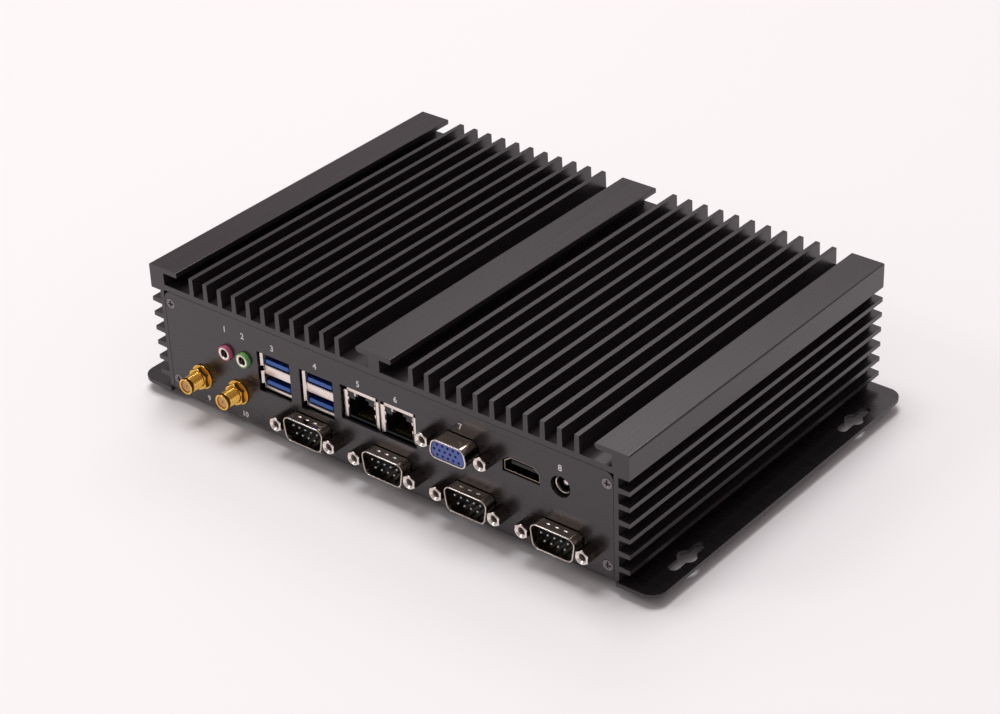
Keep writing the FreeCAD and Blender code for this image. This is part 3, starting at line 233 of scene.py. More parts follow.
def laminate(name):
    """Circuit board under green solder mask."""
    finish = Finish(name, IOR=1.5)
    grid = finish.node("ShaderNodeTexBrick", Scale=260, Color1=(0.012, 0.09, 0.04, 1),
                       Color2=(0.016, 0.12, 0.05, 1), Mortar=(0.03, 0.2, 0.09, 1))
    finish.wire(finish.place, grid.inputs["Vector"])
    finish.wire(grid.outputs["Color"], finish.shader.inputs["Base Color"])
    finish.roughness(finish.noise(300), 0.3, 0.45)
    finish.bump(grid.outputs["Fac"], 2e-5)
    return finish.material


print("a tone darkened by tarnish:", [round(part, 3) for part in scaled((0.97, 0.88, 0.83), 0.85)])

# %% [markdown]
# One line now gives each finish its tone and polish.  A table of numbers would be shorter, but a
# named value for each finish reads better where it is used.  The tones were balanced.

# %% Mix every tone
nickel = metal("nickel plated steel", (0.72, 0.65, 0.6), 0.2)
shield_nickel = metal("satin shield", (0.93, 0.83, 0.78), 0.32, 3e-6)
# The plug shells' nickel is darkened in its colour: painted shade for the dark surroundings that
# these glossy shells reflect.
shell_painted_shade = metal("connector shell with painted shade", (0.3, 0.24, 0.2), 0.16, 1.5e-6)
rim_nickel = metal("polished nickel", (0.97, 0.88, 0.83), 0.26)
gold = metal("gold plate", (0.95, 0.56, 0.115), 0.13, 2e-6, 0.7)
contact_gold = metal("contact gold", (0.85, 0.58, 0.2), 0.3)
pin_silver = metal("tin plated pin", (0.5, 0.54, 0.55), 0.3)
# Darkened copies of the nickel, painted shade: the bores in their hollows, the contacts deep in
# the power jack, and the post bodies, which reflect the dark panel.
bore_painted_shade = metal("tapped bore", (0.26, 0.21, 0.185), 0.42)
nickel_painted_shade = metal("nickel with painted shade", (0.2, 0.165, 0.145), 0.2)
screw_black = metal("black oxide screw", (0.22, 0.2, 0.2), 0.32)
aluminium = metal("milled aluminium", (0.8, 0.8, 0.82), 0.3)
black_moulding = moulded("black moulding", (0.006, 0.006, 0.0065), 0.42)
port_black = moulded("port insert", (0.004, 0.006, 0.007), 0.3)
port_blue = moulded("port blue moulding", (0.08, 0.12, 0.38), 0.45)
pink_moulding = moulded("pink moulding", (0.5, 0.1, 0.2), 0.38)
green_moulding = moulded("green moulding", (0.16, 0.42, 0.11), 0.38)
core_tan = moulded("antenna insulator", (0.62, 0.35, 0.12), 0.4)
rubber = moulded("foot rubber", (0.012, 0.012, 0.012), 0.75, 2e-5)
pad_grey = moulded("thermal pad", (0.35, 0.4, 0.46), 0.7)
grey_ribbon = moulded("ribbon cable", (0.3, 0.3, 0.32), 0.5)
lens = moulded("light lens", (0.6, 0.7, 0.6), 0.2)
print_white = moulded("panel ink", (0.8, 0.76, 0.76), 0.5)
green_board = laminate("green circuit board")
print("materials so far:", len(bpy.data.materials))

# %% [markdown]
# The tongue in a fast data port is blue, and its tip looks far lighter than the rest because the
# shell keeps light from everything behind it.  A ramp along Y, starting at the tip, paints that
# shade into the material: the blue darkens inwards from the tip as painted shade.

# %% Make the blue tongue
def tongue(name, tip):
    """Blue plastic with painted shade: it darkens inwards from its tip."""
    finish = Finish(name, IOR=1.48)
    along = finish.node("ShaderNodeSeparateXYZ")
    finish.wire(finish.place, along.inputs["Vector"])
    # painted shade: the blue darkens over 0.6 mm inwards from the tip
    ramp = finish.ranged(along.outputs["Y"], 0, 1, tip, tip + 0.6 * MM)
    finish.colours(ramp, (0.022, 0.115, 0.46), (0.003, 0.012, 0.09))
    finish.roughness(finish.noise(900), 0.3, 0.42)
    finish.bump(finish.noise(4200, 2), 3e-6)
    return finish.material


blue_tongue_painted_shade = tongue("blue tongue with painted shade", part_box("data_port_1_tongues")[0].y)
print("made", blue_tongue_painted_shade.name)

# %% [markdown]
# ## A finish for every solid
#
# The names of the solids say what they are, so one table from name to finish dresses the whole
# frame.  Where a family shares a finish, the table holds the family's first letters and the
# longest match wins.

# %% Dress every solid
FINISHES = {
    "heatsink_housing": housing_black, "base_tray": tray_black,
    "housing_screws": screw_black, "rubber_feet": rubber,
    "mic_jack": pink_moulding, "speaker_jack": green_moulding,
    "antenna": gold, "antenna_cable": black_moulding,
    "data_port_1_shell": shield_nickel, "data_port_2_shell": shield_nickel,
    "data_port_1_tongues": blue_tongue_painted_shade, "data_port_2_tongues": blue_tongue_painted_shade,
    "network_jack_1_shield": shield_nickel, "network_jack_2_shield": shield_nickel,
    "network_jack": port_black,
    # The plug shells get darkened nickel, painted shade.
    "video_port_shell": shell_painted_shade, "video_port_insert": port_blue,
    "serial_port": shell_painted_shade, "jackscrews": nickel,
    "display_socket_shell": shell_painted_shade, "display_socket_tongue": black_moulding,
    "power_jack_body": black_moulding, "power_jack_contacts": nickel_painted_shade,
    "main_board": green_board, "memory_module": green_board, "wireless_card": green_board,
    "storage_card": green_board, "memory_socket": black_moulding,
    "board_standoffs": nickel, "board_screws": nickel, "card_posts": nickel,
    "card_screws": nickel, "card_sockets": black_moulding,
    "cpu_package": black_moulding, "heat_spreader": aluminium, "thermal_pad": pad_grey,
    "coin_cell": nickel, "coin_cell_holder": black_moulding,
    "serial_headers": black_moulding, "serial_ribbons": grey_ribbon,
    "power_switch_body": nickel, "power_button": nickel, "status_lights": lens,
}
for number in range(1, 5):
    FINISHES["serial_port_%d_insert" % number] = port_black
    FINISHES["serial_port_%d_pins" % number] = pin_silver

for name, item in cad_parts.items():
    known = [start for start in FINISHES if name.startswith(start)]
    for slot in item.material_slots:
        slot.material = FINISHES[max(known, key=len)]
print("finishes in use:", len(set(FINISHES.values())))

# %% [markdown]
# ## Edges that catch the light
#
# No real edge is perfectly sharp.  An extruded edge has a radius of a tenth or two of a
# millimetre, and a stamped shell has a small roll at its mouth; both show as a thin bright line.
# The CAD mesh keeps its shape, and a weld with a narrow bevel goes over it as modifiers.

# %% Soften the edges
def soften(node, width, segments=2):
    """Rolls a solid's edges over a width in mm."""
    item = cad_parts[node]
    weld = item.modifiers.new("weld", "WELD")
    weld.merge_threshold = 1e-6
    bevel = item.modifiers.new("edge", "BEVEL")
    bevel.width = width * MM
    bevel.segments = segments
    bevel.limit_method = "ANGLE"
    bevel.angle_limit = math.radians(40)
    bevel.harden_normals = True


SOFTENED = {"heatsink_housing": 0.14, "base_tray": 0.12, "video_port_shell": 0.12,
            "display_socket_shell": 0.08, "mic_jack": 0.15, "speaker_jack": 0.15,
            "antenna_washers": 0.15}
for number in range(1, 5):
    SOFTENED["serial_port_%d_shell" % number] = 0.12
for name, width in SOFTENED.items():
    soften(name, width)
print("softened:", len(SOFTENED))

# %% [markdown]
# ## Turned and threaded hardware
#
# Screws, posts, nuts and coaxial connectors are all made on a lathe: a stack of rings skinned
# into a surface.  Here a ring's radius may also depend on the angle, and that one idea covers
# the rest: a hexagon is a radius that repeats six times, a cross recess repeats four times, and
# a thread is a radius that winds with the height.

# %% Build the lathe
TO_FRONT = Matrix.Rotation(math.radians(90), 3, "X")
TO_BACK = Matrix.Rotation(math.radians(-90), 3, "X")


def at(size, angle):
    """A size that is either fixed or depends on the angle."""
    return size(angle) if callable(size) else size


def turn(mesh, rings, steps, place, facing=TO_FRONT, closed=True):
    """Skins rings of (radius, height) in mm, each a number or a function of the angle.

    A closed piece gets a flat end at its first and its last ring.
    """
    loops = []
    for radius, height in rings:
        loop = []
        for step in range(steps):
            angle = 2 * math.pi * step / steps
            reach = at(radius, angle) * MM
            point = Vector((reach * math.cos(angle), reach * math.sin(angle),
                            at(height, angle) * MM))
            loop.append(mesh.verts.new(place + facing @ point))
        loops.append(loop)
    for low, high in zip(loops, loops[1:]):
        for step in range(steps):
            after = (step + 1) % steps
            mesh.faces.new((low[step], low[after], high[after], high[step]))
    if closed:
        mesh.faces.new(loops[0][::-1])
        mesh.faces.new(loops[-1])


def finished(name, mesh, material, body="case", sharp=35):
    """Turns a built mesh into a piece that rides on a body."""
    bmesh.ops.recalc_face_normals(mesh, faces=mesh.faces)
    data = bpy.data.meshes.new(name)
    mesh.to_mesh(data)
    mesh.free()
    data.shade_smooth()
    data.set_sharp_from_angle(angle=math.radians(sharp))
    data.materials.append(material)
    item = bpy.data.objects.new(name, data)
    scene.collection.objects.link(item)
    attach(item, body)
    return item


print("lathe axes point along", tuple(TO_FRONT @ Vector((0, 0, 1))))

# %% [markdown]
# Three functions give the rings their outline.  Each could be a mesh of its own, cut with
# booleans, but as a radius it keeps one clean skin, and a chamfer is simply a limit on it.

# %% Shape the rings
def hexagon(flats, limit=99.0):
    """Radius of a hexagon, cut back to a circle for a chamfered corner."""
    def radius(angle):
        off = (angle + math.pi / 6) % (math.pi / 3) - math.pi / 6
        return min(flats / 2 / math.cos(off), limit)
    return radius


def cross(arm, half, factor=1.0):
    """Radius of a cross recess: the further reach of two crossed bars."""
    def radius(angle):
        reach = half * 1.5
        for quarter in range(4):
            off = angle - quarter * math.pi / 2
            if math.cos(off) > 0.01:
                side = half / max(abs(math.sin(off)), 1e-6)
                reach = max(reach, min(arm / math.cos(off), side))
        return reach * factor
    return radius


def thread(radius, depth, pitch, start, length, per_turn=8):
    """Rings of a thread whose crest winds round the axis."""
    def ring(height):
        def size(angle):
            phase = (height / pitch - angle / (2 * math.pi)) % 1.0
            return radius - depth * abs(2 * phase - 1)
        return (size, height)
    count = round(length / pitch * per_turn)
    return [ring(start + length * row / count) for row in range(count + 1)]


print("corner of a 5 mm hexagon: %.2f mm" % hexagon(5.0)(math.pi / 6))

# %% [markdown]
# ## Port screws
#
# Each nine- and fifteen-pin port is held by two hexagon posts with a threaded bore that takes the
# plug's own screws.  They are cut from hexagon bar and chamfered on the lathe, so the corners end
# in curves and the face is round; that bright ring round a dark bore is what one notices first.
# The bodies and the bores carry darkened copies of the nickel, painted shade for the dark panel
# that the bodies reflect and for the hollow of the bore.  The tapped bore is also rougher than the
# bodies and faces, so bodies, faces and bores are three meshes.  Their ends stay open where one
# meets the next.

# %% Turn the port screws
POST_SPACING = 24.99
POST_FLATS = 5.0
POST_BORE = 1.4
POST_STEPS = 48
LATHE_CUTS = ((2.9, 0.42), (2.72, 0.3), (2.56, 0.2), (2.42, 0.1))
ports = ["serial_port_%d_shell" % number for number in range(1, 5)] + ["video_port_shell"]

bodies, faces, bores = bmesh.new(), bmesh.new(), bmesh.new()
reach = (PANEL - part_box("jackscrews")[0].y) / MM
root = (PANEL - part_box("jackscrews")[1].y) / MM
stem = [(POST_BORE, root), (POST_BORE, 0.0), (hexagon(POST_FLATS), 0.0),
        (hexagon(POST_FLATS), reach - LATHE_CUTS[0][1])]
chamfer = [(hexagon(POST_FLATS, limit), reach - depth) for limit, depth in LATHE_CUTS]
mouth = [(2.3, reach), (2.05, reach), (POST_BORE, reach - 0.65)]
tapped = thread(POST_BORE, 0.22, 0.64, reach - 3.9, 3.2)[::-1]
bore = mouth[-1:] + tapped + [(0.03, reach - 4.6)]
for port in ports:
    centre = middle(port)
    for side in (-1, 1):
        place = Vector((centre.x + side * POST_SPACING / 2 * MM, PANEL, centre.z))
        turn(bodies, stem, POST_STEPS, place, closed=False)
        turn(faces, chamfer + mouth, POST_STEPS, place, closed=False)
        turn(bores, bore, POST_STEPS, place, closed=False)
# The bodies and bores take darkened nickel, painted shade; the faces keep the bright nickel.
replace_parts(finished("port_post_bodies", bodies, nickel_painted_shade), "jackscrews")
finished("port_post_faces", faces, rim_nickel)
finished("port_post_bores", bores, bore_painted_shade)
print("posts:", 2 * len(ports), "reach %.1f mm" % reach)

# %% [markdown]
# ## Panel screws
#
# Four countersunk cross-recess screws hold each end of the housing.  The recess is cold formed
# and tapers to its floor; it is what makes the head read as a screw instead of a rivet.  A dark
# texture could stand for it, but a recess with walls keeps its shadow from every side.

# %% Turn the panel screws
HEAD = 2.05
SHANK = 1.45
ARM, ARM_HALF = 1.3, 0.36
screws = bmesh.new()
head = [(SHANK, -8.0), (SHANK, -0.85), (HEAD, -0.15), (HEAD, -0.05), (HEAD - 0.08, 0.0),
        (cross(ARM, ARM_HALF, 1.08), 0.0), (cross(ARM, ARM_HALF), -0.06),
        (cross(ARM, ARM_HALF, 0.62), -0.75), (0.12, -0.95)]
screw_low, screw_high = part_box("housing_screws")
for face, facing in ((PANEL, TO_FRONT), (BACK, TO_BACK)):
    for x in (screw_low.x + HEAD * MM, screw_high.x - HEAD * MM):
        for z in (screw_low.z + HEAD * MM, screw_high.z - HEAD * MM):
            turn(screws, head, 64, Vector((x, face, z)), facing)
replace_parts(finished("panel_screws", screws, screw_black, sharp=30),
            "housing_screws")
print("screw head %.1f mm wide, recess %.1f mm" % (2 * HEAD, 2 * ARM))

# %% [markdown]
# ## Antenna connectors
#
# A coaxial connector is a gold-plated threaded barrel with a plain collar at its mouth, a tan
# insulator just inside the rim and a tiny socket in the middle.  A chamfered hexagon nut and a
# dished washer clamp it to the panel.  The crests of the thread give the row of glints along the
# barrel.  A barrel of this size usually has 36 turns to the inch, or 0.71 mm a turn.  Crests that
# close together blur into a smooth tube from the camera, so this thread is coarser and deeper than
# the usual one, and both numbers were set.

# %% Turn the antenna connectors
BARREL = 3.1
PITCH = 1.0
THREAD_DEPTH = 0.6
for number in (1, 2):
    node = "antenna_connector_%d" % number
    low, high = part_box(node)
    place = Vector((middle(node).x, PANEL, middle(node).z))
    front = (PANEL - low.y) / MM
    tail = (PANEL - high.y) / MM
    barrel = bmesh.new()
    rings = [(1.8, tail), (1.8, -3.5), (4.4, -3.5), (4.4, -1.5), (2.8, -1.5), (2.8, 2.6)]
    rings += thread(BARREL, THREAD_DEPTH, PITCH, 2.7, front - 4.4)
    rings += [(2.82, front - 1.58), (2.82, front - 1.42), (3.02, front - 1.36),
              (BARREL, front - 1.2), (BARREL, front - 0.15), (BARREL - 0.12, front),
              (2.5, front), (2.36, front - 0.12), (2.3, front - 0.9), (0.3, front - 0.95)]
    turn(barrel, rings, 72, place)
    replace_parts(finished("antenna_barrel_%d" % number, barrel, gold), node)

    core = bmesh.new()
    turn(core, [(2.28, front - 1.2), (2.28, front - 0.62), (2.15, front - 0.52),
                (1.0, front - 0.5), (0.9, front - 0.6), (0.42, front - 0.62),
                (0.3, front - 1.1)], 48, place)
    finished("antenna_core_%d" % number, core, core_tan)

print("antenna barrels reach %.1f mm, %.2f mm a turn" % (front, PITCH))

# %% [markdown]
# The nut is a hexagon whose corners are cut back to a circle at both ends.  A bevel modifier would
# round its flats too, so the limit on the radius is used again.  Both nuts are one mesh, because
# the frame holds them as one node.

# %% Turn the antenna nuts
NUT_FLATS = 7.8
nuts = bmesh.new()
for number in (1, 2):
    place = middle("antenna_connector_%d" % number)
    place.y = PANEL
    edge = [(hexagon(NUT_FLATS, 4.45), 0.72), (hexagon(NUT_FLATS), 0.95),
            (hexagon(NUT_FLATS), 2.45), (hexagon(NUT_FLATS, 4.3), 2.66),
            (hexagon(NUT_FLATS, 4.05), 2.82), (3.85, 2.9)]
    turn(nuts, [(BARREL, 0.75)] + edge + [(3.3, 2.9), (3.05, 2.75), (3.05, 2.5)], 72, place)
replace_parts(finished("antenna_nut_pair", nuts, gold), "antenna_nuts")
print("antenna nuts: %.1f mm across the flats" % NUT_FLATS)

# %% [markdown]
# ## Sound jacks
#
# The coloured ring of each sound jack surrounds a plated ferrule, which is the earth contact and
# the guide for the plug.  A plain tube would do from afar; a turned profile adds the rolled lip
# that catches the light.  The jack hangs under the board, so the height of its mouth is counted
# down from the top of its body.

# %% Turn the sound jack ferrules
MOUTH_DROP = 6.4
for node in ("mic_jack", "speaker_jack"):
    low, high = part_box(node)
    place = Vector((middle(node).x, PANEL, high.z - MOUTH_DROP * MM))
    front = (PANEL - low.y) / MM
    ferrule = bmesh.new()
    turn(ferrule, [(1.72, front - 8.0), (1.72, front - 0.02), (2.4, front - 0.02),
                   (2.42, front + 0.06), (2.25, front + 0.16), (1.85, front + 0.12),
                   (1.62, front - 0.1), (1.6, front - 7.9)], 56, place)
    finished(node + "_ferrule", ferrule, rim_nickel)
    print(node, "stands %.1f mm off the panel" % front)

# %% [markdown]
# ## Power jack
#
# The barrel jack shows two bright things in its dark mouth: the lip of the outer spring and the
# round tip of the pin.  The lip is a ring skinned back onto its own start, so that nothing closes
# the mouth in front of the pin.

# %% Turn the power jack's lip and pin
low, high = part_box("power_jack_contacts")
place = Vector((middle("power_jack_contacts").x, PANEL, middle("power_jack_contacts").z))
front = (PANEL - low.y) / MM
collar = bmesh.new()
lip = [(3.1, front - 0.6), (3.3, front), (3.32, front + 0.3), (3.15, front + 0.45),
       (2.95, front + 0.3), (2.9, front - 0.6)]
turn(collar, lip + lip[:1], 56, place, closed=False)
turn(collar, [(1.15, front - 8.0), (1.15, front - 1.2), (1.0, front - 0.9),
              (0.6, front - 0.7), (0.15, front - 0.62)], 32, place)
finished("power_jack_collar", collar, rim_nickel)
print("power jack lip: %.2f mm from the panel's face" % max(height for _, height in lip))

# %% [markdown]
# ## Pins
#
# The nine pins of a serial port are turned with a rounded tip that guides them into the plug.
# Plain cylinders would show a flat end, so they are turned too.  Their places follow the port's
# own box: two rows, five above four, 2.77 mm apart.

# %% Turn the serial pins
PIN_PITCH = 2.77
PIN_ROWS = 2.84
PIN_COUNTS = ((5, 1), (4, -1))
for number in range(1, 5):
    node = "serial_port_%d_pins" % number
    low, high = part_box(node)
    centre = middle("serial_port_%d_shell" % number)
    tip = (PANEL - low.y) / MM
    root = (PANEL - high.y) / MM
    pins = bmesh.new()
    for count, row in PIN_COUNTS:
        for index in range(count):
            x = centre.x + (index - (count - 1) / 2) * PIN_PITCH * MM
            place = Vector((x, PANEL, centre.z + row * PIN_ROWS / 2 * MM))
            turn(pins, [(0.48, root), (0.48, tip - 0.5), (0.42, tip - 0.22),
                        (0.28, tip - 0.05), (0.1, tip)], 20, place)
    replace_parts(finished(node + "_turned", pins, pin_silver), node)
print("pins a port:", sum(count for count, _ in PIN_COUNTS))

# %% [markdown]
# ## Small bent and pressed pieces
#
# Springs, contacts and ridges are all short bars, so one helper makes a bar from a box and rounds
# its edges.  The bars of one comb are one mesh.

# %% Make a rounded bar
def bar(mesh, low, high, rounding=0.04):
    """Adds a box between two corners with rounded edges."""
    start, end = Vector(low), Vector(high)
    made = bmesh.ops.create_cube(mesh, size=1.0)["verts"]
    for vert in made:
        vert.co = (start + end) / 2 + Vector(part * size for part, size in
                                             zip(vert.co, end - start))
    edges = list({edge for vert in made for edge in vert.link_edges})
    bmesh.ops.bevel(mesh, geom=edges, offset=rounding * MM, segments=2, affect="EDGES",
                    profile=0.5)


print("bars are rounded by %.2f mm unless told otherwise" % bar.__defaults__[0])

# %% [markdown]
# ### Dimples on the serial shells
#
# Three dimples along the top of each plug shell grip the cable's shell.  They could be modelled
# into the shell itself, but that mesh belongs to the CAD; a flattened sphere laid over its top
# gives the same highlight and leaves it alone.

# %% Lay on the dimples
SERIAL_TALL = 9.5
DIMPLE_SPACING = 3.6
DIMPLE_REACH = 2.1
DIMPLE_HALF = (0.95, 0.5, 0.28)
for number in range(1, 5):
    centre = middle("serial_port_%d_shell" % number)
    top = centre.z + SERIAL_TALL / 2 * MM
    dimples = bmesh.new()
    for index in (-1, 0, 1):
        made = bmesh.ops.create_uvsphere(dimples, u_segments=20, v_segments=12, radius=1.0)
        for vert in made["verts"]:
            x, y, z = vert.co
            vert.co = Vector((centre.x + (index * DIMPLE_SPACING + x * DIMPLE_HALF[0]) * MM,
                              PANEL - (DIMPLE_REACH - y * DIMPLE_HALF[1]) * MM,
                              top + z * DIMPLE_HALF[2] * MM))
    finished("serial_dimples_%d" % number, dimples, rim_nickel)
    print("shell", number, "has dimples %.1f mm apart" % DIMPLE_SPACING)

# %% [markdown]
# ### Spring flaps of the data ports
#
# A spring flap on the left of a data port flares out until it touches the panel.  It could be a
# bent plane, but a swept section has both a thickness and an outward lean, which turns its face to
# the light as the real one does.  The first port's flap is stamped in two lengths, the second
# one's in one.

# %% Sweep a spring flap
FLAPS = {1: ((2.3, 5.0), (9.5, 5.2)), 2: ((2.3, 12.3),)}
FLAP_SECTION = ((0.45, -0.05), (-0.45, 0.95), (-0.25, 1.05), (0.45, 0.3))


def spring_flap(mesh, low, front, level, tall):
    """Adds a flap to the left wall of a shell, from a level up."""
    ends = [[mesh.verts.new((low.x + x * MM, front - y * MM, low.z + z * MM))
             for x, y in FLAP_SECTION] for z in (level, level + tall)]
    mesh.faces.new(ends[0][::-1])
    mesh.faces.new(ends[1])
    for index in range(len(FLAP_SECTION)):
        after = (index + 1) % len(FLAP_SECTION)
        mesh.faces.new((ends[0][index], ends[0][after], ends[1][after], ends[1][index]))


print("flaps a port:", [len(flaps) for flaps in FLAPS.values()])

# %% [markdown]
# ### Data port shells
#
# A double data port sits in one shell folded from plated strip: two side walls, three cross
# bars, and ridges along the bars that ground the plug.  One folded sheet would need every bend
# modelled; built from bars it keeps the fold lines crisp.  A dark bed between the ridges stands
# for the shadow under the spring plate.

# %% Fold the data port shells
BARS = ((0.0, 1.0), (6.15, 3.3), (14.6, 1.4))
RIDGE_LEVELS = (1.0, 9.45)
RIDGES = 14
RIDGE_PITCH = 0.87
SHEET = 0.4
for number in (1, 2):
    node = "data_port_%d_shell" % number
    low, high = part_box(node)
    front = PANEL + 1.6 * MM
    shell = bmesh.new()
    for x in (low.x, high.x - SHEET * MM):
        bar(shell, (x, front, low.z), (x + SHEET * MM, high.y, high.z), 0.06)
    for level, tall in BARS:
        bar(shell, (low.x + 0.2 * MM, front - 0.02 * MM, low.z + level * MM),
            (high.x - 0.2 * MM, front + 14.4 * MM, low.z + (level + tall) * MM), 0.12)
    bar(shell, (low.x, high.y - SHEET * MM, low.z), high)
    for level, tall in FLAPS[number]:
        spring_flap(shell, low, front, level, tall)
    for level in RIDGE_LEVELS:
        z = low.z + level * MM
        for index in range(RIDGES):
            x = low.x + (0.8 + index * RIDGE_PITCH) * MM
            bar(shell, (x, front + 0.05 * MM, z - 0.3 * MM),
                (x + 0.42 * MM, front + 2.4 * MM, z + 0.3 * MM), 0.08)
    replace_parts(finished("data_port_%d_folded" % number, shell, shield_nickel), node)
    beds = bmesh.new()
    for level in RIDGE_LEVELS:
        z = low.z + level * MM
        bar(beds, (low.x + 0.6 * MM, front + 0.08 * MM, z - 0.15 * MM),
            (high.x - 0.6 * MM, front + 3.5 * MM, z + 0.1 * MM))
    finished("data_port_%d_beds" % number, beds, port_black)
    print("data port", number, "has", len(RIDGE_LEVELS) * RIDGES, "ridges")

# %% [markdown]
# ### Wires of the network jacks
#
# Eight gold wires slope up from the sill of a network jack.  Curves with a bevel would make them
# round; these are stamped, so one rectangular section is swept along four stations: a flat start,
# a long slope and a short steep end.

# %% Sweep the contact wires
WIRES = 8
WIRE_PITCH = 1.02
SILL = 1.2
STATIONS = ((2.0, 0.05), (3.0, 0.25), (9.0, 1.7), (9.6, 2.1))
WIRE_SECTION = ((-0.18, 0), (0.18, 0), (0.18, 0.22), (-0.18, 0.22))


def contact_wires(mesh, low, centre):
    """Sweeps the wires of one jack, evenly spread about its centre."""
    sill = low.z + SILL * MM
    for index in range(WIRES):
        x = centre + (index - (WIRES - 1) / 2) * WIRE_PITCH * MM
        loops = [[mesh.verts.new((x + side * MM, low.y + (0.5 + y) * MM, sill + (z + up) * MM))
                  for side, up in WIRE_SECTION] for y, z in STATIONS]
        for near, far in zip(loops, loops[1:]):
            for corner in range(len(WIRE_SECTION)):
                after = (corner + 1) % len(WIRE_SECTION)
                mesh.faces.new((near[corner], near[after], far[after], far[corner]))
        mesh.faces.new(loops[0][::-1])
        mesh.faces.new(loops[-1])


print("wires span %.2f mm" % ((WIRES - 1) * WIRE_PITCH))

# %% [markdown]
# ### Network jack shields
#
# The shield of a network jack is a tin box with a brow and two jambs round the mouth; the black
# body closes the bottom.  Springs with notched edges line the jambs and a leaf hangs from the
# brow.  Bars are used again, since every part of it is a flat strip of one sheet.

# %% Fold the network jack shields
NOTCHES = ((4.2, 0.45), (7.6, 0.55), (9.4, 0.3))
for number in (1, 2):
    node = "network_jack_%d_shield" % number
    low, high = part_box(node)
    shield = bmesh.new()
    bar(shield, (low.x, low.y, high.z - 2.1 * MM), (high.x, low.y + SHEET * MM, high.z), 0.1)
    for start, end in ((low.x, low.x + 1.75 * MM), (high.x - 1.35 * MM, high.x)):
        bar(shield, (start, low.y, low.z + 0.5 * MM), (end, low.y + SHEET * MM, high.z), 0.1)
    for x in (low.x, high.x - SHEET * MM):
        bar(shield, (x, low.y + 0.05 * MM, low.z), (x + SHEET * MM, high.y, high.z))
    bar(shield, (low.x, low.y + 0.05 * MM, high.z - SHEET * MM), high)
    bar(shield, (low.x, high.y - SHEET * MM, low.z), high)
    centre = (low.x + high.x) / 2
    for side in (-1, 1):
        edge = centre + side * 6.3 * MM
        for level, width in NOTCHES:
            tip = edge - side * width * MM
            bar(shield, (min(edge, tip), low.y + 0.1 * MM, low.z + level * MM),
                (max(edge, tip), low.y + 0.46 * MM, low.z + (level + 1.3) * MM), 0.08)
    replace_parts(finished("network_jack_%d_folded" % number, shield, shield_nickel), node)
    leaf = bmesh.new()
    bar(leaf, (centre - 3.5 * MM, low.y + 0.42 * MM, low.z + 9.6 * MM),
        (centre - 2.7 * MM, low.y + 0.62 * MM, high.z - 1.4 * MM), 0.05)
    finished("network_jack_%d_leaf" % number, leaf, nickel)
    wires = bmesh.new()
    contact_wires(wires, low, centre)
    finished("network_jack_%d_wires" % number, wires, contact_gold)
    print("network jack %d is %.1f mm wide" % (number, (high.x - low.x) / MM))

# %% [markdown]
# ## Rims of the plug shells
#
# A drawn shell ends in a small rolled edge, which shows as a thin bright line where it catches the
# light.  Its outline is a trapezium with rounded corners.  The shell's own finish is darkened with
# painted shade, so a bevel on its mouth would be dark too; the rim is a piece of its own in the
# bright nickel: that outline swept with a half-round section.
# The serial shells carry their wide side up and the video shell carries it down.

# %% Sweep the rims
def trapezium(wide, tall, slant, rounding, steps=8):
    """Points of a rounded trapezium, wide side up, with their outward normals."""
    corners = [(-wide / 2, tall / 2), (wide / 2, tall / 2),
               (wide / 2 - slant, -tall / 2), (-wide / 2 + slant, -tall / 2)]
    points = []
    for index, corner in enumerate(corners):
        here = Vector(corner)
        back = (Vector(corners[index - 1]) - here).normalized()
        ahead = (Vector(corners[(index + 1) % 4]) - here).normalized()
        half = back.angle(ahead) / 2
        centre = here + (back + ahead).normalized() * rounding / math.sin(half)
        start = (here + back * rounding / math.tan(half) - centre).normalized()
        end = (here + ahead * rounding / math.tan(half) - centre).normalized()
        for step in range(steps + 1):
            normal = start.slerp(end, step / steps)
            points.append((centre + normal * rounding, normal))
    return points


def rim(mesh, node, wide, tall, upright, wall, slant=1.45, rounding=2.6):
    """Sweeps a half-round edge along the mouth of a shell, wide side up if upright is 1."""
    centre = middle(node)
    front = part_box(node)[0].y
    section = [(0.02, 0.5), (0.03, 0.05), (-wall * 0.2, -0.06), (-wall * 0.5, -0.1),
               (-wall * 0.8, -0.06), (-wall, 0.05), (-wall, 0.5)]
    loops = []
    for point, normal in trapezium(wide, tall, slant, rounding):
        loop = []
        for out, deep in section:
            spot = point + normal * out
            loop.append(mesh.verts.new((centre.x + spot.x * MM, front + deep * MM,
                                        centre.z + upright * spot.y * MM)))
        loops.append(loop)
    for loop, after in zip(loops, loops[1:] + loops[:1]):
        for index in range(len(section)):
            other = (index + 1) % len(section)
            mesh.faces.new((loop[index], loop[other], after[other], after[index]))


SERIAL_WIDE = 19.0
VIDEO_WIDE, VIDEO_TALL = 16.5, 7.4
rims = bmesh.new()
for number in range(1, 5):
    rim(rims, "serial_port_%d_shell" % number, SERIAL_WIDE, SERIAL_TALL, 1, 0.27)
rim(rims, "video_port_shell", VIDEO_WIDE, VIDEO_TALL, -1, 0.4)
finished("port_rims", rims, rim_nickel)
print("rims:", len(ports))

# %% [markdown]
# ## Printed numbers
#
# The panel is marked in pale ink with plain numbers, one for each connector, and a small numeral
# beside each serial port.  An image could carry them, but it would need unwrapping and would blur
# up close.  Ink stands off the panel by a few hundredths of a millimetre, so each number is a text
# curve with that thickness, its strokes made a little bolder by the curve's offset.

# %% Print the numbers
INK = 0.015
BOLDER = 0.05
LETTER_TO_SIZE = 1.38


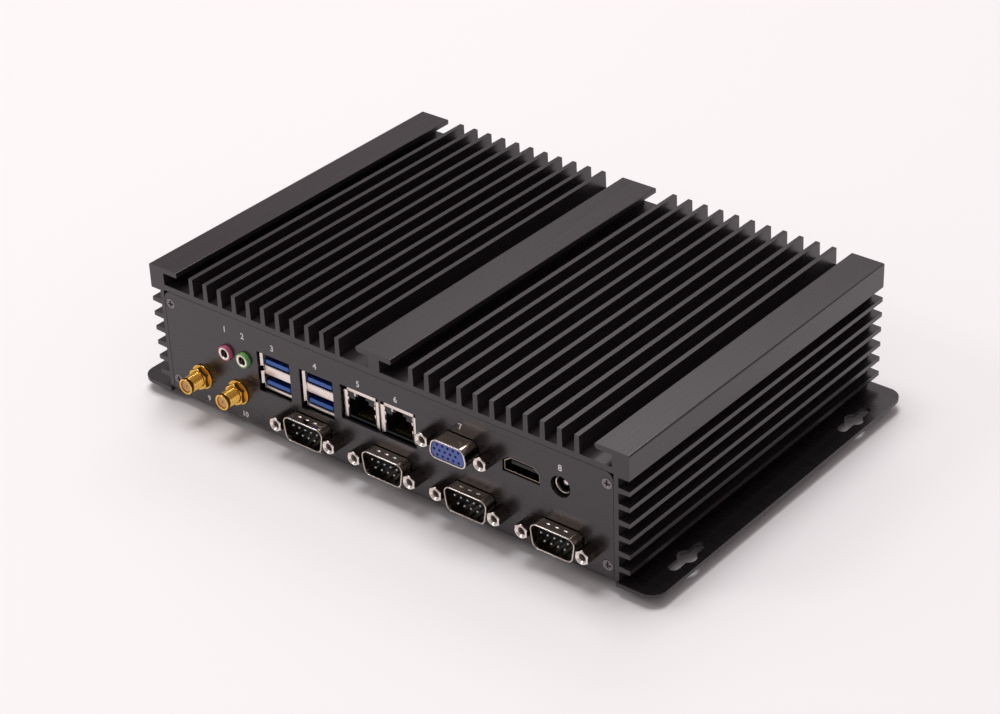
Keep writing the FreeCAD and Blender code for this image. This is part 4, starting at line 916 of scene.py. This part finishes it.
def printed(name, text, x, z, height):
    """Prints a number on the panel; the font's size is more than its digits' height."""
    curve = bpy.data.curves.new(name, "FONT")
    curve.body = text
    curve.size = height * LETTER_TO_SIZE * MM
    curve.extrude = INK * MM
    curve.offset = BOLDER * MM
    curve.align_x = "CENTER"
    curve.align_y = "CENTER"
    curve.materials.append(print_white)
    item = bpy.data.objects.new(name, curve)
    item.location = (x, PANEL - INK * MM, z)
    item.rotation_euler = (math.radians(90), 0, 0)
    scene.collection.objects.link(item)
    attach(item, "case")


LABEL_LEVEL = 36.5 * MM
LABEL_TALL, ANTENNA_TALL, NUMERAL_TALL = 2.4, 2.2, 1.4
marked = ["mic_jack", "speaker_jack", "data_port_1_shell", "data_port_2_shell",
          "network_jack_1_shield", "network_jack_2_shield", "video_port_shell",
          "power_jack_body"]
for number, node in enumerate(marked, 1):
    printed("number_%d" % number, str(number), middle(node).x, LABEL_LEVEL, LABEL_TALL)
for number in (1, 2):
    centre = middle("antenna_connector_%d" % number)
    printed("antenna_number_%d" % number, str(len(marked) + number), centre.x + 2.2 * MM,
            3.5 * MM, ANTENNA_TALL)
for number in range(1, 5):
    centre = middle("serial_port_%d_shell" % number)
    printed("serial_number_%d" % number, str(number), centre.x + 3.0 * MM, 1.1 * MM,
            NUMERAL_TALL)

# %% [markdown]
# ## Floor
#
# The object stands on a white sweep.  A curved backdrop would be usual in a studio; the camera
# looks down far enough that a flat floor fills the picture, so a plane is all it takes.

# %% Lay the floor
def make_floor(half=6.0):
    """A pale square that reaches past every view."""
    mesh = bpy.data.meshes.new("floor")
    mesh.from_pydata([(-half, -half, FLOOR), (half, -half, FLOOR), (half, half, FLOOR),
                      (-half, half, FLOOR)], [], [(0, 1, 2, 3)])
    floor = bpy.data.objects.new("floor", mesh)
    scene.collection.objects.link(floor)
    finish = Finish("white sweep", Roughness=0.6)
    finish.colours(finish.noise(0.8, 1), (0.89, 0.868, 0.874), (0.91, 0.89, 0.896))
    floor.data.materials.append(finish.material)


make_floor()
print("floor at %.1f mm" % (FLOOR / MM))

# %% [markdown]
# ## Light
#
# Gloss is what gives a black part its form, so the room matters more than the power of the lamps.
# A pale world gives the soft greys of the tops and sides, a wide key overhead whitens the floor
# and leaves a narrow shadow in front, a weak softbox behind adds a sheen to the tops, and a small
# lamp in front puts glints on the plated parts.  Their powers were balanced.

# %% Hang the lamps
def area_light(name, place, target, width, height, power):
    """A rectangular lamp that faces its target."""
    light = bpy.data.lights.new(name, "AREA")
    light.shape = "RECTANGLE"
    light.size = width
    light.size_y = height
    light.energy = power
    item = bpy.data.objects.new(name, light)
    item.location = place
    item.rotation_euler = (Vector(target) - Vector(place)).to_track_quat("-Z", "Y").to_euler()
    scene.collection.objects.link(item)


scene.world = bpy.data.worlds.new("studio")
scene.world.use_nodes = True
backdrop = scene.world.node_tree.nodes["Background"]
backdrop.inputs["Color"].default_value = (1.0, 0.9, 0.915, 1)
backdrop.inputs["Strength"].default_value = 0.395
area_light("back softbox", (-0.54, 0.94, 1.1), (0, 0, 0), 0.7, 0.55, 1.9)
area_light("key", (-0.5, 0.2, 3.0), (0, 0, 0), 1.8, 1.3, 59)
area_light("front lamp", (-0.75, -0.85, 0.95), (0, -0.08, 0.03), 0.35, 0.35, 2.0)
print("lamps:", len(bpy.data.lights))

# %% [markdown]
# ## Camera
#
# The camera stands high at the front right corner with a long lens, so that the edges of the
# housing stay nearly parallel.

# %% Set up the camera
camera_data = bpy.data.cameras.new("camera")
camera_data.lens = 91.73
camera_data.sensor_width = 36.0
camera_data.clip_start = 0.01
camera = bpy.data.objects.new("camera", camera_data)
camera.location = (0.5005, -0.6090, 0.4920)
camera.rotation_euler = (math.radians(58.706), math.radians(1.808), math.radians(38.745))
scene.collection.objects.link(camera)
scene.camera = camera
scene.view_settings.view_transform = "Standard"
print("camera %.2f m from the object" % camera.location.length)
